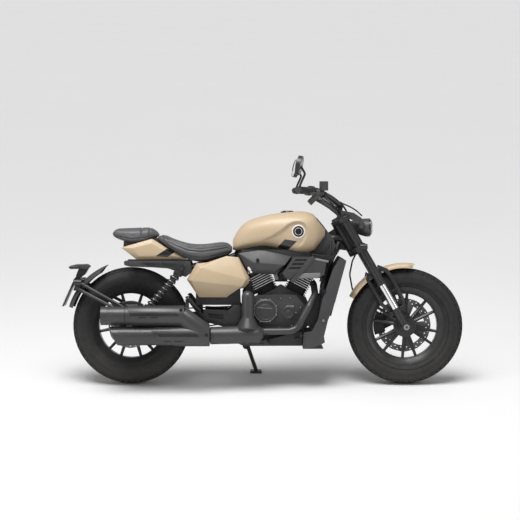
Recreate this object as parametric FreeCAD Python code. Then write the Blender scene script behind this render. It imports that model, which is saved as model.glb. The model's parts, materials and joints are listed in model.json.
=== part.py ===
import FreeCAD, Part
import math
import os
from functools import cache
from FreeCAD import Vector

# A V-twin cruiser motorcycle, parked on its side stand.
# Every piece is drawn upright: X to the front, Y to the rider's left, Z up, in mm,
# with the ground at Z 0 under the middle of the wheelbase. The whole is then leaned
# over to the left and moved so that its origin is at the bottom centre of its box.

# Driving dimensions of the whole machine
WHEELBASE = 1515.0
FRONT_TYRE_R = 320.0
REAR_TYRE_R = 323.0
FRONT_TYRE_W = 130.0
REAR_TYRE_W = 150.0
CROWN_R = 90.0
SHOULDER_ANGLE = 38.0
TYRE_FLATS = 96
RAKE = 30.0
STEER_OFFSET = 42.0
LEAN = 9.0

# Wheels
BEAD_R = 203.0
LIP_R = 216.0
RIM_INNER_R = 178.0
FRONT_RIM_W = 104.0
REAR_RIM_W = 116.0
FLANGE_T = 8.0
SPOKE_PAIRS = 6
SPOKE_SPREAD_RIM = 12.0
SPOKE_SPREAD_HUB = 9.0
SPOKE_W_HUB = 20.0
SPOKE_W_RIM = 15.0
SPOKE_T_HUB = 36.0
SPOKE_T_RIM = 26.0
HUB_R = 40.0
FRONT_HUB_END = 60.0
REAR_HUB_RIGHT = 87.0
REAR_HUB_LEFT = 89.0
AXLE_R = 10.0
AXLE_BORE_R = 6.0
PIN_GAP = 0.1
BELT_GAP = 0.3
RUN_GAP = 1.0

# Brakes
DISC_T = 5.0
FRONT_DISC_R = 150.0
REAR_DISC_R = 120.0
DISC_BAND = 37.0
DISC_HUB_R = 52.0
PAD_GAP = 5.0
CALIPER_WALL = 10.0

# Fork
LEG_Y = 105.0
UPPER_TUBE_R = 25.0
STANCHION_R = 20.5
LEG_TOP = 700.0
UPPER_TUBE_END = 267.0
FOOT_TOP = 119.0
FOOT_R = 24.0
LOWER_CLAMP_Z = 480.0
LOWER_CLAMP_T = 35.0
TOP_CLAMP_Z = 672.0
TOP_CLAMP_T = 25.0
STEM_R = 20.0
HEAD_TUBE_R = 31.0

# Widths across the machine, each from the middle plane
ENGINE_HALF = 80.0
ARM_IN = 113.0
ARM_OUT = 143.0
PIVOT_PLATE_IN = 146.0
PIVOT_PLATE_T = 12.0
RAIL_IN = 108.0
RAIL_OUT = 132.0
CASE_IN = 118.0
CASE_OUT = 170.0
COVER_IN = 100.0
AIRBOX_HALF = 98.0
SHROUD_OUT = 168.0
SHROUD_T = 5.0
SHROUD_LIP_Y = 124.0
SHOCK_Y = 160.0
MUFFLER_Y = 238.0
HEADER_Y = 200.0

# Frame tubes
FRAME_TUBE_R = 14.0
SPINE_R = 24.0
GUSSET_HALF = 5.0

# Belt drive on the left
BELT_Y = 89.0
BELT_W = 22.0
BELT_T = 6.0
REAR_PULLEY_R = 72.0
FRONT_PULLEY_R = 36.0
FRONT_PULLEY_X = -110.0
FRONT_PULLEY_Z = 385.0

# Engine
CRANK_X = 71.0
CRANK_Z = 362.0
VEE_HALF_ANGLE = 27.0
CYLINDER_BASE = 165.0
CYLINDER_TOP = 250.0
HEAD_TOP = 300.0
CYLINDER_SIZE = 110.0
FIN_SIZE = 126.0
FIN_T = 3.0
FIN_COUNT = 8

# Exhaust
HEADER_R = 19.0
MUFFLER_R = 50.0
SHIELD_GAP = 2.5
SHIELD_T = 3.0
UPPER_MUFFLER_Z = 390.0
LOWER_MUFFLER_Z = 280.0
UPPER_MUFFLER_END = -906.0
LOWER_MUFFLER_END = -868.0
COLLECTOR_FRONT = -45.0
COLLECTOR_R = 48.0
SEAM_X = -317.0
DOME_X = -111.0
DOME_R = 34.0
DOME_TOP = 490.0

# Bars and controls
BAR_R = 12.7
GRIP_R = 17.0
GRIP_LENGTH = 118.0
BAR_CENTRE = (394.0, 0.0, 986.0)
BAR_CLAMP = (394.0, 60.0, 986.0)
BAR_RISE = (316.0, 180.0, 1042.0)
BAR_KNEE = (242.0, 260.0, 1066.0)
BAR_END = (164.0, 400.0, 1070.0)
MIRROR_R = 52.0
MIRROR_T = 20.0
MIRROR_Z = 1200.0
STEM_WIRE_R = 6.0
HOSE_R = 4.5

# Fenders
FRONT_FENDER_R = 349.0
REAR_FENDER_R = 360.0
FENDER_T = 3.0
FRONT_FENDER_HALF = 75.5
REAR_FENDER_HALF = 85.0
FENDER_SKIRT = 27.0
BRACKET_T = 3.5

# Side stand, with its places given upright
STAND_PIVOT = Vector(-120.0, 142.0, 212.0)
STAND_FOOT_X = -66.0
STAND_FOOT_Y = 240.0
STAND_FOLDED = Vector(-213.0, 24.0, -6.0)
STAND_LEG_R = 11.0
STAND_EYE_R = 19.0
STAND_PIN_R = 8.0
STAND_PAD_T = 8.0
STAND_EYE_HALF = 12.0

# Soft forms
LOFT_POINTS = 16
LOFT_WIDEST = 0.55
LOFT_SQUARENESS = 0.75

# Screw holes for a rack and for a plate
RACK_HOLE_R = 4.0
RACK_HOLE_X = -593.0
RACK_HOLE_Z = 666.0
RACK_HOLE_DEPTH = 10.0
RACK_BOSS_R = 10.0
RACK_BOSS_L = 12.0
PLATE_HOLE_R = 3.25
PLATE_HOLE_SPACING = 136.0

FRONT_AXLE = Vector(WHEELBASE / 2, 0, FRONT_TYRE_R)
REAR_AXLE = Vector(-WHEELBASE / 2, 0, REAR_TYRE_R)

# Pieces that belong to an axle are drawn for this wheelbase and then move with their axle
DRAWN_WHEELBASE = 1515.0
FRONT_MOVE = Vector((WHEELBASE - DRAWN_WHEELBASE) / 2, 0, 0)
REAR_MOVE = -FRONT_MOVE

SHOCK_TOP = Vector(-471, SHOCK_Y, 640)
SHOCK_FOOT = Vector(-695, SHOCK_Y, 382) + REAR_MOVE
LIFT = CROWN_R * (1 - math.cos(math.radians(LEAN)))
ORIGIN = Vector(0, 0, 0)
AXIS_X = Vector(1, 0, 0)
AXIS_Y = Vector(0, 1, 0)
AXIS_Z = Vector(0, 0, 1)


# Shape helpers
def cylinder(start, end, radius):
    """A round bar from one point to another."""
    start, end = Vector(*start), Vector(*end)
    return Part.makeCylinder(radius, (end - start).Length, start, end - start)


def across(x, z, y0, y1, radius):
    """A round bar that lies across the machine."""
    return cylinder((x, y0, z), (x, y1, z), radius)


def box(x0, x1, y0, y1, z0, z1):
    return Part.makeBox(x1 - x0, y1 - y0, z1 - z0, Vector(x0, y0, z0))


def rounded_wire(points, radius=0.0):
    """A closed wire through the points, its corners rounded by an arc."""
    if radius <= 0:
        return Part.makePolygon(points + points[:1])
    edges, ends = [], []
    count = len(points)
    for i, corner in enumerate(points):
        to_last = points[i - 1] - corner
        to_next = points[(i + 1) % count] - corner
        half = to_last.getAngle(to_next) / 2
        room = 0.45 * min(to_last.Length, to_next.Length)
        reach = min(radius / math.tan(half), room)
        to_last.normalize()
        to_next.normalize()
        bisector = (to_last + to_next).normalize()
        arc_r = reach * math.tan(half)
        middle = corner + bisector * (arc_r / math.sin(half) - arc_r)
        ends.append((corner + to_last * reach, middle, corner + to_next * reach))
    for i, (start, middle, end) in enumerate(ends):
        edges.append(Part.Arc(start, middle, end).toShape())
        edges.append(Part.LineSegment(end, ends[(i + 1) % count][0]).toShape())
    return Part.Wire(edges)


def plate(outline, y0, y1, radius=0.0):
    """A flat piece with its outline in the side view, from y0 to y1."""
    points = [Vector(x, y0, z) for x, z in outline]
    return Part.Face(rounded_wire(points, radius)).extrude(Vector(0, y1 - y0, 0))


def flat(outline, z0, z1, radius=0.0):
    """A flat piece with its outline in the plan view, from z0 to z1."""
    points = [Vector(x, y, z0) for x, y in outline]
    return Part.Face(rounded_wire(points, radius)).extrude(Vector(0, 0, z1 - z0))


def tapered(outline, y0, y1, inset, radius=0.0):
    """A cover with its full outline at y0 and a smaller one at y1."""
    cx = sum(x for x, z in outline) / len(outline)
    cz = sum(z for x, z in outline) / len(outline)
    half = max(math.hypot(x - cx, z - cz) for x, z in outline)
    share = 1 - inset / half
    small = [(cx + (x - cx) * share, cz + (z - cz) * share) for x, z in outline]
    wires = []
    for y, points in ((y0, outline), (y1, small)):
        wires.append(rounded_wire([Vector(x, y, z) for x, z in points], radius))
    return Part.makeLoft(wires, True, True)


def tube(points, radius, bend=60.0):
    """A bent round tube: straight runs joined by tangent arcs."""
    points = [Vector(*p) for p in points]
    pieces = []
    start = points[0]
    for before, corner, after in zip(points, points[1:], points[2:]):
        back = (before - corner).normalize()
        ahead = (after - corner).normalize()
        half = back.getAngle(ahead) / 2
        room = 0.45 * min((before - corner).Length, (after - corner).Length)
        reach = min(bend / math.tan(half), room)
        centre = corner + (back + ahead).normalize() * (reach / math.cos(half))
        turn_start = corner + back * reach
        pieces.append(cylinder(start, turn_start, radius))
        disc = Part.Face(Part.Wire(Part.makeCircle(radius, turn_start, back)))
        turn = 180 - math.degrees(2 * half)
        pieces.append(disc.revolve(centre, ahead.cross(back), turn))
        start = corner + ahead * reach
    pieces.append(cylinder(start, points[-1], radius))
    return fuse(*pieces)


def ring(profile, axle):
    """A closed profile of (radius, y) points turned about an axle."""
    points = [Vector(r, y, 0) for r, y in profile]
    face = Part.Face(Part.makePolygon(points + points[:1]))
    return placed(face.revolve(ORIGIN, AXIS_Y, 360), axle)


def placed(shape, offset):
    return shape.translated(offset)


def mirrored(shape):
    return shape.mirror(ORIGIN, AXIS_Y)


def pair(shape):
    """The same piece on both sides, as two solids."""
    return Part.makeCompound([shape, mirrored(shape)])


def fuse(*shapes):
    return shapes[0].multiFuse(list(shapes[1:])).removeSplitter()


def minus(shape, *tools):
    return shape.cut(list(tools))


def on_fork(shape):
    """Place a shape that is drawn with the fork leg upright on the front axle."""
    turned = shape.rotated(ORIGIN, AXIS_Y, -RAKE)
    return turned.translated(FRONT_AXLE)


def fork_point(x, y, z):
    """A point given along and across the fork, in the machine's frame."""
    turn = FreeCAD.Rotation(AXIS_Y, -RAKE)
    return turn.multVec(Vector(x, y, z)) + FRONT_AXLE


def between(rows, steps):
    """More rows of numbers between the given ones, along a smooth curve."""
    fine = []
    last = len(rows) - 1
    for i in range(last):
        a, b, c, d = rows[max(i - 1, 0)], rows[i], rows[i + 1], rows[min(i + 2, last)]
        for k in range(steps):
            t = k / steps
            fine.append([
                q + 0.5 * t * (r - p + t * (2 * p - 5 * q + 4 * r - s + t * (3 * (q - r) + s - p)))
                for p, q, r, s in zip(a, b, c, d)
            ])
    return fine + [list(rows[-1])]


def oval(x, half, top, bottom):
    """A rounded section across the machine, widest a little below its middle."""
    middle = top - LOFT_WIDEST * (top - bottom)
    points = []
    for k in range(LOFT_POINTS):
        turn = 2 * math.pi * k / LOFT_POINTS
        out, up = math.cos(turn), math.sin(turn)
        reach = top - middle if up > 0 else middle - bottom
        y = half * math.copysign(abs(out) ** LOFT_SQUARENESS, out)
        z = middle + reach * math.copysign(abs(up) ** LOFT_SQUARENESS, up)
        points.append(Vector(x, y, z))
    return points


def lofted(sections, steps=2):
    """A soft form with a skin of flat triangles, through sections (x, half width, top, bottom)."""
    rows = [oval(*section) for section in between(sections, steps)]
    faces = [Part.Face(Part.makePolygon(row + row[:1])) for row in (rows[0], rows[-1])]
    for near, far in zip(rows, rows[1:]):
        for k in range(LOFT_POINTS):
            a, b = near[k - 1], near[k]
            c, d = far[k], far[k - 1]
            faces.append(Part.Face(Part.makePolygon([a, b, c, a])))
            faces.append(Part.Face(Part.makePolygon([a, c, d, a])))
    return filled(faces)


def filled(faces):
    """The solid inside a closed skin of faces."""
    solid = Part.Solid(Part.Shell(faces))
    if solid.Volume < 0:
        solid.reverse()
    return solid


# Wheels
def tyre_side(radius, width, rim_w):
    """The tyre's outer profile on the left side, from bead to the middle of the tread."""
    bead = rim_w / 2 - FLANGE_T
    profile = [(BEAD_R, bead), (LIP_R + 46, width / 2)]
    for angle in (SHOULDER_ANGLE, LEAN):
        phi = math.radians(angle)
        profile.append((radius - CROWN_R * (1 - math.cos(phi)), CROWN_R * math.sin(phi)))
    return profile


def tyre(axle, radius, width, rim_w):
    """A tyre as a ring of flats, which touch the rim from outside and have a corner straight below."""
    bead, wall, *tread = tyre_side(radius, width, rim_w)
    reach = 1 / math.cos(math.pi / TYRE_FLATS)
    left = [(r * reach, y) for r, y in (bead, wall)] + tread
    profile = left + [(r, -y) for r, y in reversed(left)]
    rows = []
    for k in range(TYRE_FLATS):
        turn = 2 * math.pi * k / TYRE_FLATS
        out = Vector(math.sin(turn), 0, math.cos(turn))
        rows.append([axle + out * r + AXIS_Y * y for r, y in profile])
    faces = []
    for near, far in zip(rows, rows[1:] + rows[:1]):
        for k in range(len(profile)):
            corners = [near[k - 1], near[k], far[k], far[k - 1], near[k - 1]]
            faces.append(Part.Face(Part.makePolygon(corners)))
    return filled(faces)


def rim_flange(radius, width, rim_w):
    """Where the tyre leaves the flange: the flange follows the tyre's side."""
    (r0, y0), (r1, y1) = tyre_side(radius, width, rim_w)[:2]
    return y0 + (y1 - y0) * (LIP_R - r0) / (r1 - r0)


def spoke(angle, spread):
    """One spoke of a pair, a six-sided bar that tapers from hub to rim."""
    wires = []
    stations = (
        (HUB_R - 4, angle + spread * SPOKE_SPREAD_HUB, SPOKE_W_HUB, SPOKE_T_HUB),
        (RIM_INNER_R + 2, angle + spread * SPOKE_SPREAD_RIM, SPOKE_W_RIM, SPOKE_T_RIM),
    )
    for radius, turn, width, thick in stations:
        a = math.radians(turn)
        out = Vector(math.cos(a), 0, math.sin(a))
        side = Vector(-math.sin(a), 0, math.cos(a))
        corners = ((-1, -0.6), (-1, 0.6), (0, 1), (1, 0.6), (1, -0.6), (0, -1))
        points = []
        for s, t in corners:
            points.append(out * radius + side * (s * width / 2) + AXIS_Y * (t * thick / 2))
        wires.append(rounded_wire(points))
    return Part.makeLoft(wires, True, True)


def spoke_web(angle):
    """The solid web between the two spokes of a pair, near the hub."""
    points = []
    for radius, turn in ((HUB_R - 4, -8), (112, -7), (112, 7), (HUB_R - 4, 8)):
        a = math.radians(angle + turn)
        points.append((radius * math.cos(a), radius * math.sin(a)))
    return plate(points, -9, 9)


def rim(axle, radius, width, rim_w, first_pair, hub_right, hub_left, bore):
    half = rim_w / 2
    bead = half - FLANGE_T
    lip = rim_flange(radius, width, rim_w)
    left = [(RIM_INNER_R, half - 22), (LIP_R, half), (LIP_R, lip), (BEAD_R, bead)]
    right = [(r, -y) for r, y in reversed(left)]
    barrel = ring(left + right, ORIGIN)
    pieces = [barrel]
    for i in range(SPOKE_PAIRS):
        angle = first_pair + i * 360.0 / SPOKE_PAIRS
        pieces += [spoke(angle, 1), spoke(angle, -1), spoke_web(angle)]
    pieces.append(across(0, 0, -hub_right, hub_left, HUB_R))
    pieces.append(across(0, 0, -SPOKE_T_HUB / 2 - 4, SPOKE_T_HUB / 2 + 4, HUB_R + 22))
    wheel = fuse(*pieces)
    wheel = minus(wheel, across(0, 0, -hub_right - 1, hub_left + 1, bore))
    return placed(wheel, axle)


def brake_disc(axle, radius, y0, y1, bore):
    """A floating disc: the braking band, a carrier and the arms between them."""
    inner = radius - DISC_BAND
    band = across(0, 0, y0, y1, radius).cut(across(0, 0, y0, y1, inner))
    carrier = across(0, 0, y0, y1, DISC_HUB_R)
    arms = []
    for i in range(5):
        arm = box(DISC_HUB_R - 6, inner + 2, y0, y1, -9, 9)
        arms.append(arm.rotated(ORIGIN, AXIS_Y, i * 72))
    disc = fuse(band, carrier, *arms)
    return placed(disc.cut(across(0, 0, y0, y1, bore)), axle)


def caliper(axle, radius, y0, y1, angle, span):
    """A caliper that straddles the disc, with running gaps on both of its sides."""
    inner, outer = y0 - PAD_GAP, y1 + PAD_GAP
    body = ring_sector(radius - 42, radius + 20, inner - CALIPER_WALL, outer + CALIPER_WALL, angle, span)
    slot = ring_sector(radius - 60, radius + PAD_GAP, inner, outer, angle, span + 20)
    return placed(body.cut(slot), axle)


def ring_sector(r0, r1, y0, y1, angle, span):
    """A sector of a flat ring in the side view, its middle at the angle from X."""
    points = []
    for r, turns in ((r0, (-1, 0, 1)), (r1, (1, 0, -1))):
        for turn in turns:
            a = math.radians(angle + turn * span / 2)
            points.append(Vector(r * math.cos(a), y0, r * math.sin(a)))
    edges = [
        Part.Arc(points[0], points[1], points[2]).toShape(),
        Part.LineSegment(points[2], points[3]).toShape(),
        Part.Arc(points[3], points[4], points[5]).toShape(),
        Part.LineSegment(points[5], points[0]).toShape(),
    ]
    return Part.Face(Part.Wire(edges)).extrude(Vector(0, y1 - y0, 0))


FRONT_DISC_Y = FRONT_HUB_END + 3
REAR_DISC_Y = -REAR_HUB_RIGHT - DISC_T


def front_wheel():
    bore = AXLE_R + PIN_GAP
    wheel = rim(FRONT_AXLE, FRONT_TYRE_R, FRONT_TYRE_W, FRONT_RIM_W, -22, FRONT_HUB_END,
                FRONT_DISC_Y, bore)
    disc = brake_disc(FRONT_AXLE, FRONT_DISC_R, FRONT_DISC_Y, FRONT_DISC_Y + DISC_T, bore + 6)
    rubber = tyre(FRONT_AXLE, FRONT_TYRE_R, FRONT_TYRE_W, FRONT_RIM_W)
    return {"front_rim": wheel, "front_disc": disc, "front_tyre": rubber}


def rear_wheel():
    bore = AXLE_R + 2 + PIN_GAP
    wheel = rim(REAR_AXLE, REAR_TYRE_R, REAR_TYRE_W, REAR_RIM_W, -1, REAR_HUB_RIGHT,
                REAR_HUB_LEFT, bore)
    disc = brake_disc(REAR_AXLE, REAR_DISC_R, REAR_DISC_Y, -REAR_HUB_RIGHT, bore + 6)
    rubber = tyre(REAR_AXLE, REAR_TYRE_R, REAR_TYRE_W, REAR_RIM_W)
    pulley = across(REAR_AXLE.x, REAR_AXLE.z, BELT_Y, BELT_Y + BELT_W, REAR_PULLEY_R)
    pulley = pulley.cut(across(REAR_AXLE.x, REAR_AXLE.z, BELT_Y, BELT_Y + BELT_W, bore + 6))
    return {"rear_rim": fuse(wheel, pulley), "rear_disc": disc, "rear_tyre": rubber}


# Fork and what turns with it
@cache
def triple_clamps():
    """Both fork bridges on their stem, with the bar's risers and the front indicators."""
    def bridge(z0, z1):
        outline = [(-72, -26), (-72, 26), (-30, 128), (30, 128), (14, 48), (14, -48), (30, -128), (-30, -128)]
        slab = flat(outline, z0, z1)
        rounds = [Part.makeCylinder(UPPER_TUBE_R + 9, z1 - z0, Vector(0, y, z0)) for y in (-LEG_Y, LEG_Y)]
        return fuse(slab, *rounds)
    lower = bridge(LOWER_CLAMP_Z, LOWER_CLAMP_Z + LOWER_CLAMP_T)
    upper = bridge(TOP_CLAMP_Z, TOP_CLAMP_Z + TOP_CLAMP_T)
    stem_top = TOP_CLAMP_Z + TOP_CLAMP_T + 12
    stem = Part.makeCylinder(STEM_R, stem_top - LOWER_CLAMP_Z, Vector(-STEER_OFFSET, 0, LOWER_CLAMP_Z))
    legs = [Part.makeCylinder(UPPER_TUBE_R, LEG_TOP, Vector(0, y, 0)) for y in (-LEG_Y, LEG_Y)]
    bridges = on_fork(fuse(lower, upper, stem))
    whole = fuse(bridges, *risers(), *front_indicators())
    return minus(whole, handlebar(), *[on_fork(leg) for leg in legs])


@cache
def fork_tubes():
    height = LEG_TOP - UPPER_TUBE_END
    leg = Part.makeCylinder(UPPER_TUBE_R, height, Vector(0, LEG_Y, UPPER_TUBE_END))
    seal = Part.makeCylinder(UPPER_TUBE_R + 4, 16, Vector(0, LEG_Y, UPPER_TUBE_END))
    cap = Part.makeCylinder(15, 8, Vector(0, LEG_Y, LEG_TOP), AXIS_Z, 360)
    return on_fork(pair(fuse(leg, seal, cap)))


@cache
def stanchions():
    height = UPPER_TUBE_END - FOOT_TOP
    return on_fork(pair(Part.makeCylinder(STANCHION_R, height, Vector(0, LEG_Y, FOOT_TOP))))


@cache
def fork_feet():
    """The cast lugs at the foot of each leg, which hold the axle, bracket and caliper."""
    socket = Part.makeCylinder(FOOT_R, FOOT_TOP - 20, Vector(0, LEG_Y, 20))
    eye = cylinder((0, LEG_Y - 21, 0), (0, LEG_Y + 23, 0), 27)
    inner = FRONT_FENDER_HALF + 0.5 + BRACKET_T
    front_ear = box(0, 50, LEG_Y - 21, LEG_Y - 8, 88, 112)
    rear_ear = box(-44, 0, LEG_Y - 21, LEG_Y - 8, 88, 112)
    front_pad = cylinder((40, inner, 100), (40, LEG_Y - 21, 100), 9)
    rear_pad = cylinder((-34, inner, 100), (-34, LEG_Y - 21, 100), 9)
    foot = fuse(socket, eye, front_ear, rear_ear, front_pad, rear_pad)
    foot = foot.cut(cylinder((0, 0, 0), (0, LEG_Y + 60, 0), AXLE_R))
    return on_fork(pair(foot))


@cache
def front_axle():
    """A hollow axle with a spacer on each side of the hub."""
    x, z = FRONT_AXLE.x, FRONT_AXLE.z
    end = LEG_Y + 30
    bar = across(x, z, -end, end, AXLE_R)
    left = across(x, z, FRONT_DISC_Y + DISC_T + RUN_GAP, LEG_Y - 21, 18)
    right = across(x, z, -(LEG_Y - 21), -(FRONT_HUB_END + RUN_GAP), 18)
    nuts = [across(x, z, s * (LEG_Y + 23), s * end, 16) for s in (-1, 1)]
    return fuse(bar, left, right, *nuts).cut(across(x, z, -end, end, AXLE_BORE_R))


@cache
def fender_bracket():
    """The black hoop over the front fender and the struts that carry it."""
    y0 = FRONT_FENDER_HALF + 0.5
    y1 = y0 + BRACKET_T
    front = [(612, 655), (656, 640), (682, 604), (746, 484), (757, 424), (752, 396),
             (734, 398), (738, 424), (728, 478), (668, 592), (640, 622), (606, 634)]
    rear = [(545, 616), (537, 578), (585, 499), (628, 425), (672, 392),
            (690, 404), (684, 420), (642, 437), (600, 508), (556, 580), (566, 600)]
    struts = fuse(plate(front, y0, y1), plate(rear, y0, y1))
    side = fuse(placed(struts, FRONT_MOVE), ring_strap(y0, y1))
    top = fender_arc(FRONT_FENDER_R + 0.3, BRACKET_T, y1, 24.0, 37.0, 0.0)
    hoop = placed(top, FRONT_AXLE)
    return fuse(side, mirrored(side), hoop)


def ring_strap(y0, y1):
    r0 = FRONT_FENDER_R - 30
    strap = ring_sector(r0, FRONT_FENDER_R + 0.3 + BRACKET_T, y0, y1, 120.5, 13.0)
    return placed(strap, FRONT_AXLE)


def fender_arc(radius, thick, half, start, end, skirt):
    """A curved strip over a wheel, from start to end degrees behind the top."""
    if skirt > 0:
        outer = [(radius - skirt, half), (radius - 9, half - 12), (radius, half - 38)]
    else:
        outer = [(radius, half)]
    inner = []
    for r, y in outer:
        inner.append((r - thick if skirt > 0 else r + thick, y - (thick if skirt > 0 else 0)))
    if skirt > 0:
        inner[0] = (radius - skirt, half - thick)
    left = outer + [(r, -y) for r, y in reversed(outer)]
    right = [(r, -y) for r, y in inner] + list(reversed(inner))
    points = [Vector(0, y, r) for r, y in left + right]
    face = Part.Face(Part.makePolygon(points + points[:1]))
    face.rotate(ORIGIN, AXIS_Y, -start)
    return face.revolve(ORIGIN, AXIS_Y, -(end - start))


@cache
def front_fender():
    arc = fender_arc(FRONT_FENDER_R, FENDER_T, FRONT_FENDER_HALF, -8.0, 62.0, FENDER_SKIRT)
    return placed(arc, FRONT_AXLE)


@cache
def headlight():
    """The lamp body and the stays that hold it to the fork bridges."""
    body = lofted([(458, 40, 900, 846), (505, 72, 912, 824), (540, 84, 914, 814), (562, 85, 915, 814)], 1)
    arm = plate([(398, 936), (398, 960), (470, 946), (512, 918), (520, 896), (480, 900)], 86, 91)
    foot = box(500, 524, 60, 91, 860, 900)
    arm = fuse(arm, foot)
    lamp = placed(body.multiFuse([arm, mirrored(arm)]), FRONT_MOVE)
    return minus(lamp, triple_clamps(), fork_tubes())


@cache
def headlight_lens():
    lens = lofted([(562, 83, 913, 816), (570, 79, 909, 820), (576, 62, 899, 830)], 1)
    return placed(lens, FRONT_MOVE)


@cache
def handlebar():
    points = [BAR_END, BAR_KNEE, BAR_RISE, BAR_CLAMP]
    left = [Vector(*p) + FRONT_MOVE for p in points]
    right = [Vector(p.x, -p.y, p.z) for p in reversed(left)]
    return tube(left + right, BAR_R, 70)


def risers():
    """The two clamps that stand on the top bridge and hold the bar."""
    top = TOP_CLAMP_Z + TOP_CLAMP_T
    pieces = []
    for y in (-42, 42):
        foot = fork_point(-14, y, top)
        head = Vector(BAR_CENTRE[0], y, BAR_CENTRE[2]) + FRONT_MOVE
        stem = cylinder(foot, head, 15)
        clamp = across(head.x, head.z, y - 16, y + 16, BAR_R + 9)
        pieces.append(fuse(stem, clamp))
    return pieces


def along_bar(distance):
    """A point on the left end of the bar, measured inwards from its tip."""
    tip, knee = Vector(*BAR_END) + FRONT_MOVE, Vector(*BAR_KNEE) + FRONT_MOVE
    return tip + (knee - tip).normalize() * distance


def sleeve(near, far, radius):
    """A sleeve round the bar between two distances from its tip."""
    start, end = along_bar(near), along_bar(far)
    return cylinder(start, end, radius).cut(cylinder(start, end, BAR_R))


@cache
def grips():
    return pair(sleeve(4, GRIP_LENGTH, GRIP_R))


@cache
def hand_controls():
    """Switch housings, levers and the brake fluid pot on the right."""
    housing = sleeve(GRIP_LENGTH + RUN_GAP / 2, GRIP_LENGTH + 32, 25)
    perch_at = along_bar(GRIP_LENGTH + 26)
    perch = cylinder(perch_at + Vector(8, -6, -6), perch_at + Vector(66, -10, -8), 13)
    lever = tube([perch_at + Vector(40, -12, -9), perch_at + Vector(34, 40, -14),
                  perch_at + Vector(-8, 108, -16)], 6.5, 40)
    left = fuse(housing, perch, lever)
    pot_at = perch_at + Vector(64, -6, 0)
    pot = cylinder(pot_at, pot_at + Vector(0, 0, 50), 24)
    right = mirrored(left)
    pot = mirrored(pot)
    return minus(Part.makeCompound([left, fuse(right, pot)]), handlebar())


@cache
def mirrors():
    """Bar-end mirrors: a clamp at the tip, a bent stem and a round head."""
    tip = along_bar(0)
    out = (tip - along_bar(1)).normalize()
    hub = cylinder(tip, tip + out * 20, 18)
    centre = Vector(tip.x - 10, tip.y + 18, MIRROR_Z)
    facing = Vector(-0.96, -0.18, 0.2).normalize()
    head = cylinder(centre, centre - facing * MIRROR_T, MIRROR_R)
    way = [tip + out * 10, tip + Vector(8, 16, 36), tip + Vector(30, 18, 84), centre - facing * (MIRROR_T - 4)]
    stem = tube(way, STEM_WIRE_R, 20)
    return pair(fuse(hub, stem, head))


@cache
def gauge():
    """A round dial that faces the rider, on a stalk from the bar clamps."""
    facing = Vector(-1, 0, 1).normalize()
    face_at = Vector(247, 0, 1038)
    pod = cylinder(face_at, face_at - facing * 30, 43)
    stalk = tube([face_at - facing * 26, Vector(300, 0, 1000), Vector(340, 0, 975), Vector(386, 0, 938)], 9, 30)
    return minus(placed(fuse(pod, stalk), FRONT_MOVE), triple_clamps())


def front_indicators():
    """Two small lamps beside the lower fork bridge."""
    base = fork_point(30, 0, LOWER_CLAMP_Z + LOWER_CLAMP_T / 2)
    stalk = cylinder((base.x - 18, LEG_Y + 10, base.z - 4), (base.x - 18, LEG_Y + 48, base.z - 4), 6)
    lamp = cylinder((base.x - 36, LEG_Y + 60, base.z - 4), (base.x + 6, LEG_Y + 60, base.z - 4), 16)
    left = fuse(stalk, lamp)
    return [left, mirrored(left)]


@cache
def front_caliper():
    body = caliper(FRONT_AXLE, FRONT_DISC_R, FRONT_DISC_Y, FRONT_DISC_Y + DISC_T, 176, 46)
    y0 = FRONT_DISC_Y + DISC_T + PAD_GAP + CALIPER_WALL
    outline = [(612, 300), (606, 360), (660, 385), (700, 370), (722, 345), (700, 320), (650, 295)]
    arm = placed(plate(outline, y0, y0 + 8), FRONT_MOVE)
    return minus(fuse(body, arm), fork_feet(), stanchions())


@cache
def brake_hose():
    """The hose from the lower bridge down to the caliper, clipped to the left leg."""
    start = fork_point(-30, 60, LOWER_CLAMP_Z)
    way = [(470, 66, 676), (456, 76, 601), (474, 92, 506), (556, 98, 424), (622, 81, 384)]
    hose = tube([start] + [Vector(*p) + FRONT_MOVE for p in way], HOSE_R, 60)
    return minus(hose, front_caliper(), fender_bracket(), triple_clamps())


# Frame
@cache
def frame_spine():
    """Head tube, backbone and the two tubes that run back to the seat rails."""
    bottom = LOWER_CLAMP_Z + LOWER_CLAMP_T + RUN_GAP
    top = TOP_CLAMP_Z - RUN_GAP
    head = Part.makeCylinder(HEAD_TUBE_R, top - bottom, Vector(-STEER_OFFSET, 0, bottom))
    bore = Part.makeCylinder(STEM_R + PIN_GAP, top - bottom, Vector(-STEER_OFFSET, 0, bottom))
    joint = fork_point(-STEER_OFFSET - 10, 0, (top + bottom) / 2)
    spine = cylinder(joint, (-130, 0, 742), SPINE_R)
    gusset = plate([(300, 815), (366, 858), (396, 850), (442, 754), (428, 737), (398, 742), (366, 690), (338, 686)],
                   -GUSSET_HALF, GUSSET_HALF)
    pieces = [on_fork(head), spine, placed(gusset, FRONT_MOVE)]
    for side in (-1, 1):
        run = [(-110, side * 8, 742), (-240, side * 58, 688), (-415, side * 98, 650), (-450, side * 118, 642)]
        pieces.append(tube(run, FRAME_TUBE_R, 60))
    return minus(fuse(*pieces), on_fork(bore), seat_rails())


@cache
def frame_cradle():
    """The tubes from the head down in front of the engine and back under it."""
    run = [(392 + FRONT_MOVE.x, 26, 782), (322, 82, 630), (304, 85, 540), (286, 85, 370), (246, 85, 262),
           (190, 88, 229), (-150, 104, 229), (-216, 148, 318)]
    left = tube(run, FRAME_TUBE_R, 60)
    ties = [across(x, z, -88, 88, 10) for x, z in ((302, 520), (-60, 229))]
    hanger = plate([(206, 340), (218, 432), (252, 486), (300, 500), (290, 330), (262, 300), (226, 316)],
                   ENGINE_HALF - 2, ENGINE_HALF + 6)
    whole = fuse(left, mirrored(left), hanger, mirrored(hanger), *ties, stand_bracket())
    return minus(whole, frame_spine(), pivot_plates())


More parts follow.
